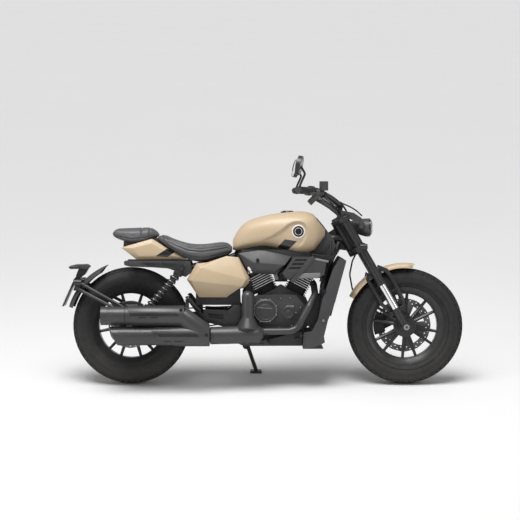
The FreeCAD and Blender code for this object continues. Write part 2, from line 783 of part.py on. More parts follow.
@cache
def pivot_plates():
    """The plates that hold the swingarm pivot, with the rear footpeg hangers."""
    outline = [(-360, 356), (-352, 420), (-219, 412), (-190, 442), (-150, 442), (-150, 296), (-196, 312)]
    y0, y1 = PIVOT_PLATE_IN, PIVOT_PLATE_IN + PIVOT_PLATE_T
    hanger = [(-352, 384), (-430, 492), (-454, 488), (-366, 366)]
    slot = plate([(-332, 398), (-244, 392), (-244, 364), (-322, 374)], y0, y1)
    wall = fuse(plate(outline, y0, y1), plate(hanger, y0, y1)).cut(slot)
    peg = tube([(-440, y1 - 4, 484), (-440, y1 + 18, 484), (-400, y1 + 24, 440), (-370, y1 + 24, 412)], 9, 12)
    return pair(fuse(wall, peg))


@cache
def seat_rails():
    """The cast rails under the seat, tied across over the rear wheel."""
    outline = [(-790, 676), (-783, 684), (-426, 684), (-417, 621), (-452, 595), (-478, 604),
               (-513, 630), (-548, 642), (-635, 648), (-757, 652), (-786, 660)]
    rail = plate(outline, RAIL_IN, RAIL_OUT)
    ties = [across(-500, 656, -RAIL_IN, RAIL_IN, 11), across(-738, 668, -RAIL_IN, RAIL_IN, 8)]
    pins = [across(SHOCK_TOP.x, SHOCK_TOP.z, s * RAIL_OUT, s * (SHOCK_Y + 26), 8) for s in (-1, 1)]
    return fuse(rail, mirrored(rail), *ties, *pins)


@cache
def rack_bosses():
    """The threaded bosses on the rails that carry a rack or a backrest."""
    end = RAIL_OUT + RACK_BOSS_L
    boss = across(RACK_HOLE_X, RACK_HOLE_Z, RAIL_OUT, end, RACK_BOSS_R)
    return pair(boss.cut(across(RACK_HOLE_X, RACK_HOLE_Z, end - RACK_HOLE_DEPTH, end, RACK_HOLE_R)))


@cache
def swingarm():
    """Two arms, the cross member in front of the tyre, the pivot and the shock pins."""
    near, far = REAR_AXLE.x + 57.5, REAR_AXLE.x - 48.5
    outline = [(-186, 400), (-230, 404), (-480, 384), (near, 350), (far, 350), (far, 296),
               (near, 296), (-480, 326), (-230, 352), (-186, 358)]
    arm = plate(outline, ARM_IN, ARM_OUT, 8)
    foot = SHOCK_FOOT.x
    lug = plate([(foot + 23, 340), (foot + 23, 396), (foot - 23, 396), (foot - 23, 340)], ARM_IN + 8, ARM_OUT, 10)
    pin = across(foot, SHOCK_FOOT.z, ARM_OUT - 4, SHOCK_Y + 26, 8)
    boss = across(-205, 380, ARM_IN, PIVOT_PLATE_IN, 26)
    left = fuse(arm, lug, pin, boss)
    cross = box(-345, -300, -ARM_IN, ARM_IN, 342, 386)
    shaft = across(-205, 380, -ARM_IN, ARM_IN, 14)
    whole = fuse(left, mirrored(left), cross, shaft)
    x, z = REAR_AXLE.x, REAR_AXLE.z
    return whole.cut(across(x, z, -ARM_OUT, ARM_OUT, AXLE_R + 2))


@cache
def rear_axle():
    x, z = REAR_AXLE.x, REAR_AXLE.z
    end = ARM_OUT + 16
    bar = across(x, z, -end, end, AXLE_R + 2)
    left = across(x, z, BELT_Y + BELT_W + 0.8, ARM_IN, 20)
    right = across(x, z, -ARM_IN, REAR_DISC_Y - RUN_GAP, 20)
    nuts = [across(x, z, s * ARM_OUT, s * end, 18) for s in (-1, 1)]
    return fuse(bar, left, right, *nuts)


@cache
def shock_dampers():
    way = (SHOCK_FOOT - SHOCK_TOP).normalize()
    eye_half = 12
    pieces = [cylinder(SHOCK_TOP + way * 14, SHOCK_FOOT - way * 14, 16)]
    for at in (SHOCK_TOP, SHOCK_FOOT):
        pieces.append(across(at.x, at.z, SHOCK_Y - eye_half, SHOCK_Y + eye_half, 19))
    pieces.append(cylinder(SHOCK_TOP + way * 24, SHOCK_TOP + way * 36, 26))
    pieces.append(cylinder(SHOCK_FOOT - way * 68, SHOCK_FOOT - way * 56, 26))
    damper = fuse(*pieces)
    for at in (SHOCK_TOP, SHOCK_FOOT):
        damper = damper.cut(across(at.x, at.z, SHOCK_Y - 40, SHOCK_Y + 40, 8))
    return pair(damper)


@cache
def shock_springs():
    way = (SHOCK_FOOT - SHOCK_TOP).normalize()
    start, end = SHOCK_TOP + way * 36, SHOCK_FOOT - way * 68
    return pair(cylinder(start, end, 25).cut(cylinder(start, end, 16)))


# Engine and drive
def vee_box(side, width, depth, s0, s1):
    """A block on one cylinder's line, from s0 to s1 above the crank."""
    block = box(-width / 2, width / 2, -depth / 2, depth / 2, s0, s1)
    turned = block.rotated(ORIGIN, AXIS_Y, side * VEE_HALF_ANGLE)
    return turned.translated(Vector(CRANK_X, 0, CRANK_Z))


def vee_point(side, along, above):
    a = math.radians(side * VEE_HALF_ANGLE)
    x = CRANK_X + above * math.sin(a) + along * math.cos(a)
    z = CRANK_Z + above * math.cos(a) - along * math.sin(a)
    return x, z


@cache
def engine_case():
    """The crankcase with its side covers, mounts and the front belt pulley."""
    apex = CRANK_Z + CYLINDER_BASE / math.cos(math.radians(VEE_HALF_ANGLE))
    outline = [vee_point(-1, -72, CYLINDER_BASE), (CRANK_X, apex), vee_point(1, 72, CYLINDER_BASE),
               (228, 430), (222, 330), (168, 258), (-60, 250), (-130, 272), (-150, 320), (-148, 440)]
    case = plate(outline, -ENGINE_HALF, ENGINE_HALF)
    right = [(-80, 494), (60, 500), (150, 500), (200, 440), (190, 350), (139, 316), (-10, 306), (-82, 330)]
    cover = plate(right, -148, -ENGINE_HALF, 24)
    clutch = across(-16, 414, -170, -148, 60)
    points = across(110, 402, -158, -148, 36)
    left = plate([(-20, 300), (-30, 430), (40, 480), (150, 450), (170, 340), (120, 280)], ENGINE_HALF, 128, 24)
    stator = across(CRANK_X, CRANK_Z, 128, 150, 66)
    shaft = across(FRONT_PULLEY_X, FRONT_PULLEY_Z, ENGINE_HALF, BELT_Y, 16)
    pulley = across(FRONT_PULLEY_X, FRONT_PULLEY_Z, BELT_Y, BELT_Y + BELT_W, FRONT_PULLEY_R)
    feet = [box(x - 14, x + 14, s * 70 - 10, s * 70 + 22, 216, 262) for x in (140, -40) for s in (-1, 1)]
    breather = plate([(-148, 430), (-138, 516), (-112, 546), (-100, 548), (-70, 470)], 5, 60)
    whole = fuse(case, cover, clutch, points, left, stator, shaft, pulley, breather, belt_cover(), *feet)
    return minus(whole, frame_cradle())


@cache
def cylinders():
    """Both barrels with their cooling fins and heads."""
    barrels = []
    for side in (-1, 1):
        pieces = [vee_box(side, CYLINDER_SIZE, CYLINDER_SIZE, CYLINDER_BASE, CYLINDER_TOP)]
        pitch = (CYLINDER_TOP - CYLINDER_BASE) / FIN_COUNT
        for i in range(FIN_COUNT):
            low = CYLINDER_BASE + pitch * (i + 0.6)
            pieces.append(vee_box(side, FIN_SIZE, FIN_SIZE + 14, low, low + FIN_T))
        pieces += cylinder_head(side)
        barrels.append(fuse(*pieces))
    return Part.makeCompound(barrels)


def cylinder_head(side):
    base = vee_box(side, FIN_SIZE - 4, FIN_SIZE + 10, CYLINDER_TOP, CYLINDER_TOP + 26)
    lid = vee_box(side, FIN_SIZE - 26, FIN_SIZE - 10, CYLINDER_TOP + 26, HEAD_TOP)
    return [base, lid]


def belt_loop(front_r, rear_r, y0, y1):
    """The solid inside a belt that runs round both pulleys."""
    gap = FRONT_PULLEY_X - REAR_AXLE.x
    rise = FRONT_PULLEY_Z - REAR_AXLE.z
    span = math.hypot(gap, rise)
    lean = math.atan2(rise, gap)
    wrap = math.acos((rear_r - front_r) / span)
    front = Vector(FRONT_PULLEY_X, y0, FRONT_PULLEY_Z)
    rear = Vector(REAR_AXLE.x, y0, REAR_AXLE.z)

    def at(centre, radius, angle):
        return centre + Vector(math.cos(angle), 0, math.sin(angle)) * radius
    up, down = lean + wrap, lean - wrap
    edges = [
        Part.LineSegment(at(rear, rear_r, up), at(front, front_r, up)).toShape(),
        Part.Arc(at(front, front_r, up), at(front, front_r, lean), at(front, front_r, down)).toShape(),
        Part.LineSegment(at(front, front_r, down), at(rear, rear_r, down)).toShape(),
        Part.Arc(at(rear, rear_r, down), at(rear, rear_r, lean + math.pi), at(rear, rear_r, up)).toShape(),
    ]
    return Part.Face(Part.Wire(edges)).extrude(Vector(0, y1 - y0, 0))


@cache
def belt():
    y0, y1 = BELT_Y + 0.5, BELT_Y + BELT_W - 0.5
    inner = belt_loop(FRONT_PULLEY_R + BELT_GAP, REAR_PULLEY_R + BELT_GAP, y0, y1)
    reach = BELT_GAP + BELT_T
    outer = belt_loop(FRONT_PULLEY_R + reach, REAR_PULLEY_R + reach, y0, y1)
    return outer.cut(inner)


def belt_cover():
    """The cover over the front pulley, on three posts."""
    outline = [(-168, 340), (-168, 432), (-100, 446), (-40, 440), (-34, 340), (-90, 322)]
    wall = plate(outline, BELT_Y + BELT_W + 4, BELT_Y + BELT_W + 12, 18)
    posts = [across(x, z, ENGINE_HALF, BELT_Y + BELT_W + 4, 7) for x, z in ((-50, 436), (-50, 344))]
    return fuse(wall, *posts)


# Exhaust
@cache
def exhaust_headers():
    """Both header pipes: the front one runs down and back, the rear one under its cover."""
    front = tube([(215, -26, 588), (250, -62, 556), (257, -112, 500), (224, -166, 441), (181, -188, 363),
                  (157, -194, 318), (118, -HEADER_Y, 304), (COLLECTOR_FRONT, -HEADER_Y, 302)], HEADER_R, 46)
    rear = tube([(-44, -24, 586), (-104, -56, 560), (-124, -94, 514), (-120, -146, 482), (DOME_X, -HEADER_Y, 466)],
                HEADER_R, 40)
    whole = fuse(front, rear, exhaust_collector())
    return minus(whole, cylinders(), pivot_plates())


def exhaust_collector():
    """The rear header's domed cover and the pipe that gathers both headers."""
    upright = cylinder((DOME_X, -HEADER_Y, 300), (DOME_X, -HEADER_Y, DOME_TOP), DOME_R)
    dome = Part.makeSphere(DOME_R, Vector(DOME_X, -HEADER_Y, DOME_TOP))
    flare = Part.makeCone(DOME_R + 30, DOME_R, 62, Vector(DOME_X, -HEADER_Y, 318))
    rear = Vector(SEAM_X, -HEADER_Y - 4, LOWER_MUFFLER_Z)
    front = Vector(COLLECTOR_FRONT - 8, -HEADER_Y, LOWER_MUFFLER_Z + 6)
    main = cylinder(rear, front, COLLECTOR_R)
    nose = Part.makeCone(COLLECTOR_R, 30, 26, front, front - rear)
    return fuse(upright, dome, flare, main, nose)


def muffler_forms(extra):
    """Both cans and the slanted pipe that feeds the upper one, fattened by extra."""
    y = -MUFFLER_Y
    upper = cylinder((UPPER_MUFFLER_END, y, UPPER_MUFFLER_Z), (-455, y, UPPER_MUFFLER_Z), MUFFLER_R + extra)
    lower = cylinder((LOWER_MUFFLER_END, y, LOWER_MUFFLER_Z), (SEAM_X, y, LOWER_MUFFLER_Z), MUFFLER_R + extra)
    feed = cylinder((-470, y, UPPER_MUFFLER_Z), (SEAM_X + 20, y, LOWER_MUFFLER_Z - 6), MUFFLER_R - 2 + extra)
    return fuse(upper, lower, feed)


@cache
def mufflers():
    cans = muffler_forms(0)
    cans = cans.cut(box(SEAM_X, SEAM_X + 200, -400, 0, 0, 600))
    for end, z in ((UPPER_MUFFLER_END, UPPER_MUFFLER_Z), (LOWER_MUFFLER_END, LOWER_MUFFLER_Z)):
        cans = cans.cut(cylinder((end, -MUFFLER_Y, z), (end + 60, -MUFFLER_Y, z), 24))
    slant = plate([(-880, 336), (-862, 336), (-808, 216), (-880, 216)], -MUFFLER_Y - 60, -MUFFLER_Y + 60)
    cans = cans.cut(slant)
    outer = -PIVOT_PLATE_IN - PIVOT_PLATE_T
    tab = box(-475, -432, -MUFFLER_Y + 26, outer, 424, 431)
    wall = box(-452, -432, outer - 6, outer, 424, 476)
    return minus(fuse(cans, tab, wall), exhaust_headers(), pivot_plates())


@cache
def muffler_shield():
    """The stamped shield that wraps the outer side of both cans."""
    outline = [(-762, 448), (-456, 446), (-318, 340), (-318, 224), (-436, 222), (-573, 240), (-632, 318),
               (-600, 336), (-728, 338)]
    window = plate(outline, -MUFFLER_Y - 80, -MUFFLER_Y + 12)
    shell = muffler_forms(SHIELD_GAP + SHIELD_T).cut(muffler_forms(SHIELD_GAP))
    return shell.common(window)


# Cooling
@cache
def radiator():
    core = box(-16, 16, -SHROUD_LIP_Y, SHROUD_LIP_Y, -150, 150)
    turned = core.rotated(ORIGIN, AXIS_Y, 15)
    core = turned.translated(Vector(368, 0, 530))
    return minus(core, frame_cradle())


@cache
def radiator_shroud():
    """The side panels round the radiator, joined by the belly pan."""
    outline = [(392, 705), (426, 686), (365, 461), (326, 361), (304, 272), (309, 239), (259, 214), (187, 203),
               (193, 295), (237, 300), (270, 361), (298, 483), (352, 640)]
    side = plate(outline, SHROUD_OUT - SHROUD_T, SHROUD_OUT, 6)
    lip_out = [(426, 686), (365, 461), (326, 361), (304, 272), (309, 239), (301, 238), (296, 272), (318, 363),
               (357, 463), (417, 684)]
    lip = plate(lip_out, SHROUD_LIP_Y, SHROUD_OUT - SHROUD_T)
    posts = [across(x, z, 92, SHROUD_OUT - SHROUD_T, 8) for x, z in ((302, 470), (268, 322))]
    left = fuse(side, lip, *posts)
    pan = box(190, 300, -SHROUD_OUT + SHROUD_T, SHROUD_OUT - SHROUD_T, 204, 210)
    return minus(fuse(left, mirrored(left), pan), frame_cradle(), radiator())


# Bodywork
@cache
def fuel_tank():
    sections = [(-195, 62, 796, 742), (-165, 84, 850, 734), (-114, 104, 898, 740), (-20, 128, 930, 756),
                (80, 146, 947, 740), (170, 150, 954, 718), (240, 138, 943, 724), (280, 118, 902, 770),
                (312, 84, 862, 812)]
    return minus(lofted(sections), frame_spine())


@cache
def tank_cap():
    base = Part.makeCylinder(42, 12, Vector(110, 0, 940))
    return minus(fuse(base, Part.makeCylinder(30, 18, Vector(110, 0, 940))), fuel_tank())


def neck_panels():
    """The dark covers between the tank and the steering head."""
    outline = [(258, 929), (300, 880), (328, 842), (360, 800), (372, 764), (350, 700), (239, 712), (262, 760)]
    panel = plate(outline, 44, 70, 6)
    return pair(panel)


@cache
def air_covers():
    outline = [(-163, 726), (-52, 742), (-18, 740), (128, 708), (57, 620), (26, 610), (-36, 612), (-79, 616),
               (-124, 652)]
    cover = tapered(outline, COVER_IN, CASE_OUT - 2, 26)
    return minus(pair(cover), fuel_tank(), frame_spine())


@cache
def front_covers():
    """The intake covers, each with three louvres and a diagonal strut, and the neck panels."""
    outline = [(131, 708), (243, 712), (331, 690), (322, 628), (318, 604), (286, 588), (118, 583), (92, 574),
               (58, 614)]
    cover = tapered(outline, COVER_IN, CASE_OUT - 4, 20)
    louvres = [plate([(x, z), (x + 62, z), (x + 56, z - 9), (x - 8, z - 9)], 150, 180)
               for x, z in ((150, 694), (134, 672), (116, 650))]
    strut = plate([(240, 712), (258, 701), (136, 562), (118, 575)], 150, CASE_OUT + 4)
    intakes = pair(fuse(minus(cover, *louvres), strut))
    whole = Part.makeCompound([intakes, neck_panels()])
    return minus(whole, fuel_tank(), air_covers(), frame_spine(), frame_cradle())


@cache
def airbox():
    """The air box under the tank, with the throat that feeds both heads."""
    outline = [(-150, 650), (-146, 744), (226, 744), (236, 704), (298, 690), (292, 640), (186, 640), (150, 660),
               (0, 660), (-30, 640)]
    body = plate(outline, -AIRBOX_HALF, AIRBOX_HALF)
    throat = cylinder((CRANK_X, 0, 665), (CRANK_X, 0, 566), 22)
    runner = cylinder((36, 0, 580), (106, 0, 580), 16)
    whole = fuse(body, throat, runner)
    return minus(whole, fuel_tank(), frame_spine(), frame_cradle(), cylinders(), engine_case(), exhaust_headers(),
                 battery_box())


@cache
def side_cases():
    outline = [(-446, 581), (-394, 670), (-335, 675), (-227, 710), (-161, 703), (-102, 592), (-104, 564),
               (-130, 536), (-175, 526), (-224, 484), (-380, 484)]
    case = tapered(outline, CASE_IN, CASE_OUT, 24)
    return minus(pair(case), seat_rails(), air_covers(), frame_spine())


@cache
def battery_box():
    """The box between the seat and the swingarm, with ears on the pivot plates."""
    body = plate([(-395, 440), (-400, 560), (-380, 630), (-160, 630), (-152, 440)], -95, 95)
    ears = [box(-190, -170, s * 120 - 26, s * 120 + 26, 428, 441) for s in (-1, 1)]
    return minus(fuse(body, *ears), frame_spine())


@cache
def seat_rider():
    sections = [(-606, 92, 822, 800), (-515, 128, 794, 732), (-437, 142, 768, 691), (-360, 134, 766, 676),
                (-279, 106, 777, 700), (-200, 70, 766, 731)]
    return minus(lofted(sections), seat_rails(), frame_spine(), side_cases(), fuel_tank())


@cache
def seat_pillion():
    sections = [(-858, 66, 836, 818), (-830, 84, 856, 803), (-745, 96, 861, 774), (-680, 98, 862, 791),
                (-640, 92, 858, 807), (-600, 76, 828, 819)]
    return minus(lofted(sections), seat_rider())


@cache
def tail_cowl():
    outline = [(-803, 755), (-637, 803), (-541, 742), (-445, 690), (-720, 688)]
    cowl = plate(outline, -104, 104)
    pad = plate([(-830, 800), (-745, 790), (-620, 812), (-637, 790), (-790, 752)], -70, 70)
    return minus(fuse(cowl, pad), seat_pillion(), seat_rider(), seat_rails(), frame_spine())


# Rear end
@cache
def rear_fender():
    arc = fender_arc(REAR_FENDER_R, FENDER_T + 1, REAR_FENDER_HALF, 22.0, 73.0, FENDER_SKIRT)
    tip = [(REAR_FENDER_R + 4, 20.0), (REAR_FENDER_R - 2, 22.0), (REAR_FENDER_R - FENDER_SKIRT - 2, 31.0),
           (REAR_FENDER_R - FENDER_SKIRT - 10, 31.0), (REAR_FENDER_R - FENDER_SKIRT - 10, 20.0)]
    corner = [(-r * math.sin(math.radians(a)), r * math.cos(math.radians(a))) for r, a in tip]
    return placed(arc.cut(plate(corner, -REAR_FENDER_HALF - 5, REAR_FENDER_HALF + 5)), REAR_AXLE)


@cache
def fender_arms():
    """The tube arms from the swingarm's ends back to the fender and plate."""
    foot = plate([(-850, 440), (-782, 440), (-734, 340), (-734, 298), (-800, 298)], ARM_OUT, ARM_OUT + 8, 8)
    nut = across(-DRAWN_WHEELBASE / 2, REAR_AXLE.z, ARM_OUT, ARM_OUT + 20, 19)
    upper = tube([(-790, ARM_OUT + 4, 430), (-930, 120, 506), (-1035, 92, 562)], 9, 60)
    lower = tube([(-846, ARM_OUT + 4, 430), (-960, 116, 486), (-1052, 88, 532)], 9, 60)
    end = plate([(-1020, 578), (-1048, 586), (-1070, 520), (-1040, 516)], 78, 96)
    side = fuse(foot.cut(nut), upper, lower, end)
    bridge = plate([(-1024, 576), (-1046, 584), (-1060, 550), (-1040, 542)], -96, 96)
    whole = fuse(side, mirrored(side), bridge, plate_carrier(), *rear_indicators())
    return minus(placed(whole, REAR_MOVE), rear_fender())


def plate_carrier():
    """The arm that holds the tail lamp and the number plate clear of the tyre."""
    outline = [(-1056, 578), (-1040, 586), (-1012, 606), (-990, 644), (-1015, 658), (-1047, 637), (-1062, 598)]
    arm = plate(outline, -34, 34)
    back = plate([(-1062, 590), (-1056, 590), (-1128, 430), (-1134, 432)], -60, 60)
    return fuse(arm, back)


@cache
def number_plate():
    points = [(-1066, 590), (-1062, 590), (-1134, 430), (-1138, 432)]
    sheet = plate(points, -95, 95)
    way = Vector(-72, 0, -160).normalize()
    normal = Vector(-way.z, 0, way.x)
    holes = []
    for y in (-PLATE_HOLE_SPACING / 2, PLATE_HOLE_SPACING / 2):
        at = Vector(-1064, y, 590) + way * 22
        holes.append(cylinder(at - normal * 20, at + normal * 20, PLATE_HOLE_R))
    return minus(placed(minus(sheet, *holes), REAR_MOVE), fender_arms())


@cache
def tail_lamp():
    lamp = plate([(-1098, 650), (-1090, 636), (-1047, 637), (-1040, 650)], -70, 70)
    return minus(placed(lamp, REAR_MOVE), fender_arms())


def rear_indicators():
    stalk = cylinder((-1044, 80, 560), (-1044, 130, 566), 6)
    lamp = cylinder((-1064, 142, 566), (-1022, 142, 566), 16)
    left = fuse(stalk, lamp)
    return [left, mirrored(left)]


@cache
def rear_caliper():
    body = caliper(REAR_AXLE, REAR_DISC_R, REAR_DISC_Y, REAR_DISC_Y + DISC_T, 84, 52)
    y = -ARM_IN
    arm = plate([(-800, 300), (-806, 380), (-780, 440), (-716, 440), (-706, 380), (-716, 300)], y, y + 7)
    bore = across(REAR_AXLE.x, REAR_AXLE.z, y, y + 7, 21)
    return fuse(body, minus(placed(arm, REAR_MOVE), bore))


# Feet and stand
@cache
def rider_pegs():
    """The rider's pegs with the brake pedal on the right and the shift pedal on the left."""
    hanger = plate([(186, 218), (186, 297), (150, 290), (17, 256), (-10, 256), (-10, 232), (60, 218)], 118, 128, 6)
    peg = cylinder((-4, 128, 245), (-18, 228, 248), 12)
    pedal = tube([(150, 128, 262), (150, 150, 262), (176, 190, 270), (180, 232, 282)], 6, 18)
    spacer = across(120, 229, 88, 118, 9)
    return minus(pair(fuse(hanger, peg, pedal, spacer)), frame_cradle(), exhaust_headers())


def stand_frame():
    """The stand's parked leg, its folded leg and its pivot axis, upright."""
    down = unleaned(Vector(STAND_FOOT_X, STAND_FOOT_Y, STAND_PAD_T - LIFT)) - STAND_PIVOT
    axis = down.cross(STAND_FOLDED).normalize()
    return down, axis


def unleaned(point):
    a = math.radians(LEAN)
    y = point.y * math.cos(a) - point.z * math.sin(a)
    z = point.y * math.sin(a) + point.z * math.cos(a)
    return Vector(point.x, y, z)


def stand_bracket():
    """The pin and flange on the left cradle tube that carry the side stand."""
    axis = stand_frame()[1]
    seat = STAND_EYE_HALF + RUN_GAP
    pin = cylinder(STAND_PIVOT - axis * (seat + 20), STAND_PIVOT + axis * (seat + 6), STAND_PIN_R)
    flange = cylinder(STAND_PIVOT - axis * (seat + 20), STAND_PIVOT - axis * seat, 20)
    head = cylinder(STAND_PIVOT + axis * seat, STAND_PIVOT + axis * (seat + 6), 13)
    arm = cylinder(STAND_PIVOT - axis * (seat + 16), (STAND_PIVOT.x, 98, 229), 13)
    return fuse(pin, flange, head, arm)


@cache
def side_stand():
    """The leg with its eye round the pin and a foot that lies flat on the ground."""
    down, axis = stand_frame()
    eye = cylinder(STAND_PIVOT - axis * STAND_EYE_HALF, STAND_PIVOT + axis * STAND_EYE_HALF, STAND_EYE_R)
    foot_at = STAND_PIVOT + down
    leg = cylinder(STAND_PIVOT + down.normalize() * 12, foot_at, STAND_LEG_R)
    pad = box(-34, 30, -22, 26, -STAND_PAD_T, 4)
    pad = pad.translated(Vector(STAND_FOOT_X, STAND_FOOT_Y, STAND_PAD_T - LIFT))
    pad.rotate(ORIGIN, AXIS_X, LEAN)
    bore = cylinder(STAND_PIVOT - axis * 30, STAND_PIVOT + axis * 30, STAND_PIN_R + PIN_GAP)
    return fuse(eye, leg, pad).cut(bore)


def build():
    """Every piece, upright, by the name of its node."""
    nodes = {}
    nodes.update(front_wheel())
    nodes.update(rear_wheel())
    makers = (
        triple_clamps, fork_tubes, stanchions, fork_feet, front_axle, fender_bracket, front_fender,
        headlight, headlight_lens, handlebar, grips, hand_controls, mirrors, gauge, front_caliper,
        brake_hose,
        frame_spine, frame_cradle, pivot_plates, seat_rails, rack_bosses, swingarm, rear_axle, shock_dampers,
        shock_springs, engine_case, cylinders, belt, exhaust_headers, mufflers, muffler_shield,
        radiator, radiator_shroud,
        fuel_tank, tank_cap, air_covers, front_covers, airbox, side_cases, battery_box, seat_rider,
        seat_pillion, tail_cowl, rear_fender, fender_arms, number_plate, tail_lamp, rear_caliper,
        rider_pegs, side_stand,
    )
    for maker in makers:
        nodes[maker.__name__] = maker()
    return nodes


def leaned(shape):
    """Lean a shape over on the stand, with the tyres back on the ground."""
    turned = shape.rotated(ORIGIN, AXIS_X, -LEAN)
    return turned.translated(Vector(0, 0, LIFT))


def bottom_centre(shapes):
    whole = FreeCAD.BoundBox()
    for shape in shapes:
        whole.add(shape.BoundBox)
    return Vector(whole.Center.x, whole.Center.y, whole.ZMin)


def main():
    os.makedirs("parts", exist_ok=True)
    nodes = {name: leaned(shape) for name, shape in build().items()}
    base = bottom_centre(nodes.values())
    for name, shape in nodes.items():
        shape.translated(-base).exportStep("parts/" + name + ".step")


if __name__ == "__main__":
    main()
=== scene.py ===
"""Looks of a cruiser motorcycle, parked leaning on its side stand.

Every piece is drawn upright in millimetres, X to the front, Y to the rider's left and
Z up from the ground, and is then leaned and scaled into the frame by to_frame.
"""
import json
import math

import bmesh
import bpy
from mathutils import Matrix, Vector
from mathutils.bvhtree import BVHTree

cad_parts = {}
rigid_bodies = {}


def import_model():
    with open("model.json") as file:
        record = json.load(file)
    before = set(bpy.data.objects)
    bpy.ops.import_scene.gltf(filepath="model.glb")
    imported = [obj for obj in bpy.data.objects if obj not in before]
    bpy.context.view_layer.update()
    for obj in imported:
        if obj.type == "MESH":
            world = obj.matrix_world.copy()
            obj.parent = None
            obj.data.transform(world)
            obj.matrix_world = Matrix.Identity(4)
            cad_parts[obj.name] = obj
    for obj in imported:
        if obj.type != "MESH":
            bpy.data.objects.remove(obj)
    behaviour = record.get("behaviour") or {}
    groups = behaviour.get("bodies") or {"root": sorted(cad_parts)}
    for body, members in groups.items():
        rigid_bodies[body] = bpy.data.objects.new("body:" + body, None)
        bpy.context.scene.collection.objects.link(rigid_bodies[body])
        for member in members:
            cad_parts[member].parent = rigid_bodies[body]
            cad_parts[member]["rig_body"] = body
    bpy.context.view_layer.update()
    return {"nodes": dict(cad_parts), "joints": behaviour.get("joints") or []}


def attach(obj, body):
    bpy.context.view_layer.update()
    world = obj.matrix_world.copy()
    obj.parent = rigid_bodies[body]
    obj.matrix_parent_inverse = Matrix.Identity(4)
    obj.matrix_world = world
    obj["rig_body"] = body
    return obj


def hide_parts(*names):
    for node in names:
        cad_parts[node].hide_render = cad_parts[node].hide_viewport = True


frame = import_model()
JOINTS = {joint["name"]: joint for joint in frame["joints"]}

# Sizes that the pieces share with the frame, upright, in millimetres
WHEELBASE = 1515.0
FRONT_R = 320
REAR_R = 323
FRONT_AXLE = Vector((WHEELBASE / 2, 0, FRONT_R))
REAR_AXLE = Vector((-WHEELBASE / 2, 0, REAR_R))
CROWN_R = 90.0
FLAT_CROWN = math.radians(9)
LIP_R = 216.0
BEAD_R = 203.0
SHOULDER = math.radians(38)
CASE_OUT = 170.0
CRANK = Vector((71, 0, 362))
VEE_HALF_ANGLE = math.radians(27)
SHOCK_TOP = Vector((-471, 160, 640))
SHOCK_FOOT = Vector((-695, 160, 382))

ORIGIN = Vector((0, 0, 0))
LEFT = Vector((0, 1, 0))
UP = Vector((0, 0, 1))
SIDES = (-1, 1)


def frame_matrix():
    """From upright millimetres to the frame's metres, worked out from the front wheel's joint."""
    spin = Vector(JOINTS["front_wheel_spin"]["axis"])
    lean = Matrix.Rotation(math.atan2(spin.z, spin.y), 4, "X")
    axle = Vector(JOINTS["front_wheel_spin"]["pos_m"])
    start = lean @ (FRONT_AXLE / 1000)
    return Matrix.Translation(axle - start) @ lean @ Matrix.Scale(0.001, 4)


TO_FRAME = frame_matrix()
TO_UPRIGHT = TO_FRAME.inverted()


# Shader groups shared by the materials
def value_group(name, output, **inputs):
    """A shader group with its sockets, its input node and its output node."""
    group = bpy.data.node_groups.new(name, "ShaderNodeTree")
    for label, default in inputs.items():
        socket = group.interface.new_socket(label, in_out="INPUT", socket_type="NodeSocketFloat")
        socket.default_value = default
    group.interface.new_socket(output, in_out="OUTPUT", socket_type="NodeSocketFloat")
    return group, group.nodes.new("NodeGroupInput"), group.nodes.new("NodeGroupOutput")


def with_values(node, **values):
    """The node with some of its properties or inputs set."""
    for key, value in values.items():
        if hasattr(node, key):
            setattr(node, key, value)
        else:
            node.inputs[key.replace("_", " ")].default_value = value
    return node


def new_node(tree, kind, **values):
    return with_values(tree.nodes.new(kind), **values)


def linked(tree, *links):
    """Links, each given as node, output, node, input."""
    for start, out, end, into in links:
        tree.links.new(start.outputs[out], end.inputs[into])


def mottle_group():
    """Soft patches over a surface, from Low to High, at a given scale."""
    group, given, out = value_group("mottle", "Value", Scale=8.0, Low=0.0, High=1.0)
    place = new_node(group, "ShaderNodeTexCoord")
    broad = new_node(group, "ShaderNodeTexNoise", Detail=4.0, Roughness=0.6)
    spread = new_node(group, "ShaderNodeMapRange", From_Min=0.3, From_Max=0.7)
    linked(group, (place, "Object", broad, "Vector"), (given, "Scale", broad, "Scale"),
           (broad, "Fac", spread, "Value"), (given, "Low", spread, "To Min"),
           (given, "High", spread, "To Max"), (spread, "Result", out, "Value"))
    return group


def grain_group():
    """The height of a moulded or leather grain, mixed with fine noise."""
    group, given, out = value_group("grain", "Height", Scale=300.0, Fine=0.3)
    place = new_node(group, "ShaderNodeTexCoord")
    cells = new_node(group, "ShaderNodeTexVoronoi", feature="SMOOTH_F1")
    noise = new_node(group, "ShaderNodeTexNoise", Detail=3.0)
    faster = new_node(group, "ShaderNodeMath", operation="MULTIPLY")
    faster.inputs[1].default_value = 2.5
    share = new_node(group, "ShaderNodeMix")
    linked(group, (place, "Object", cells, "Vector"), (place, "Object", noise, "Vector"),
           (given, "Scale", cells, "Scale"), (given, "Scale", faster, 0), (faster, 0, noise, "Scale"),
           (given, "Fine", share, "Factor"), (cells, "Distance", share, 2), (noise, "Fac", share, 3),
           (share, 0, out, "Height"))
    return group


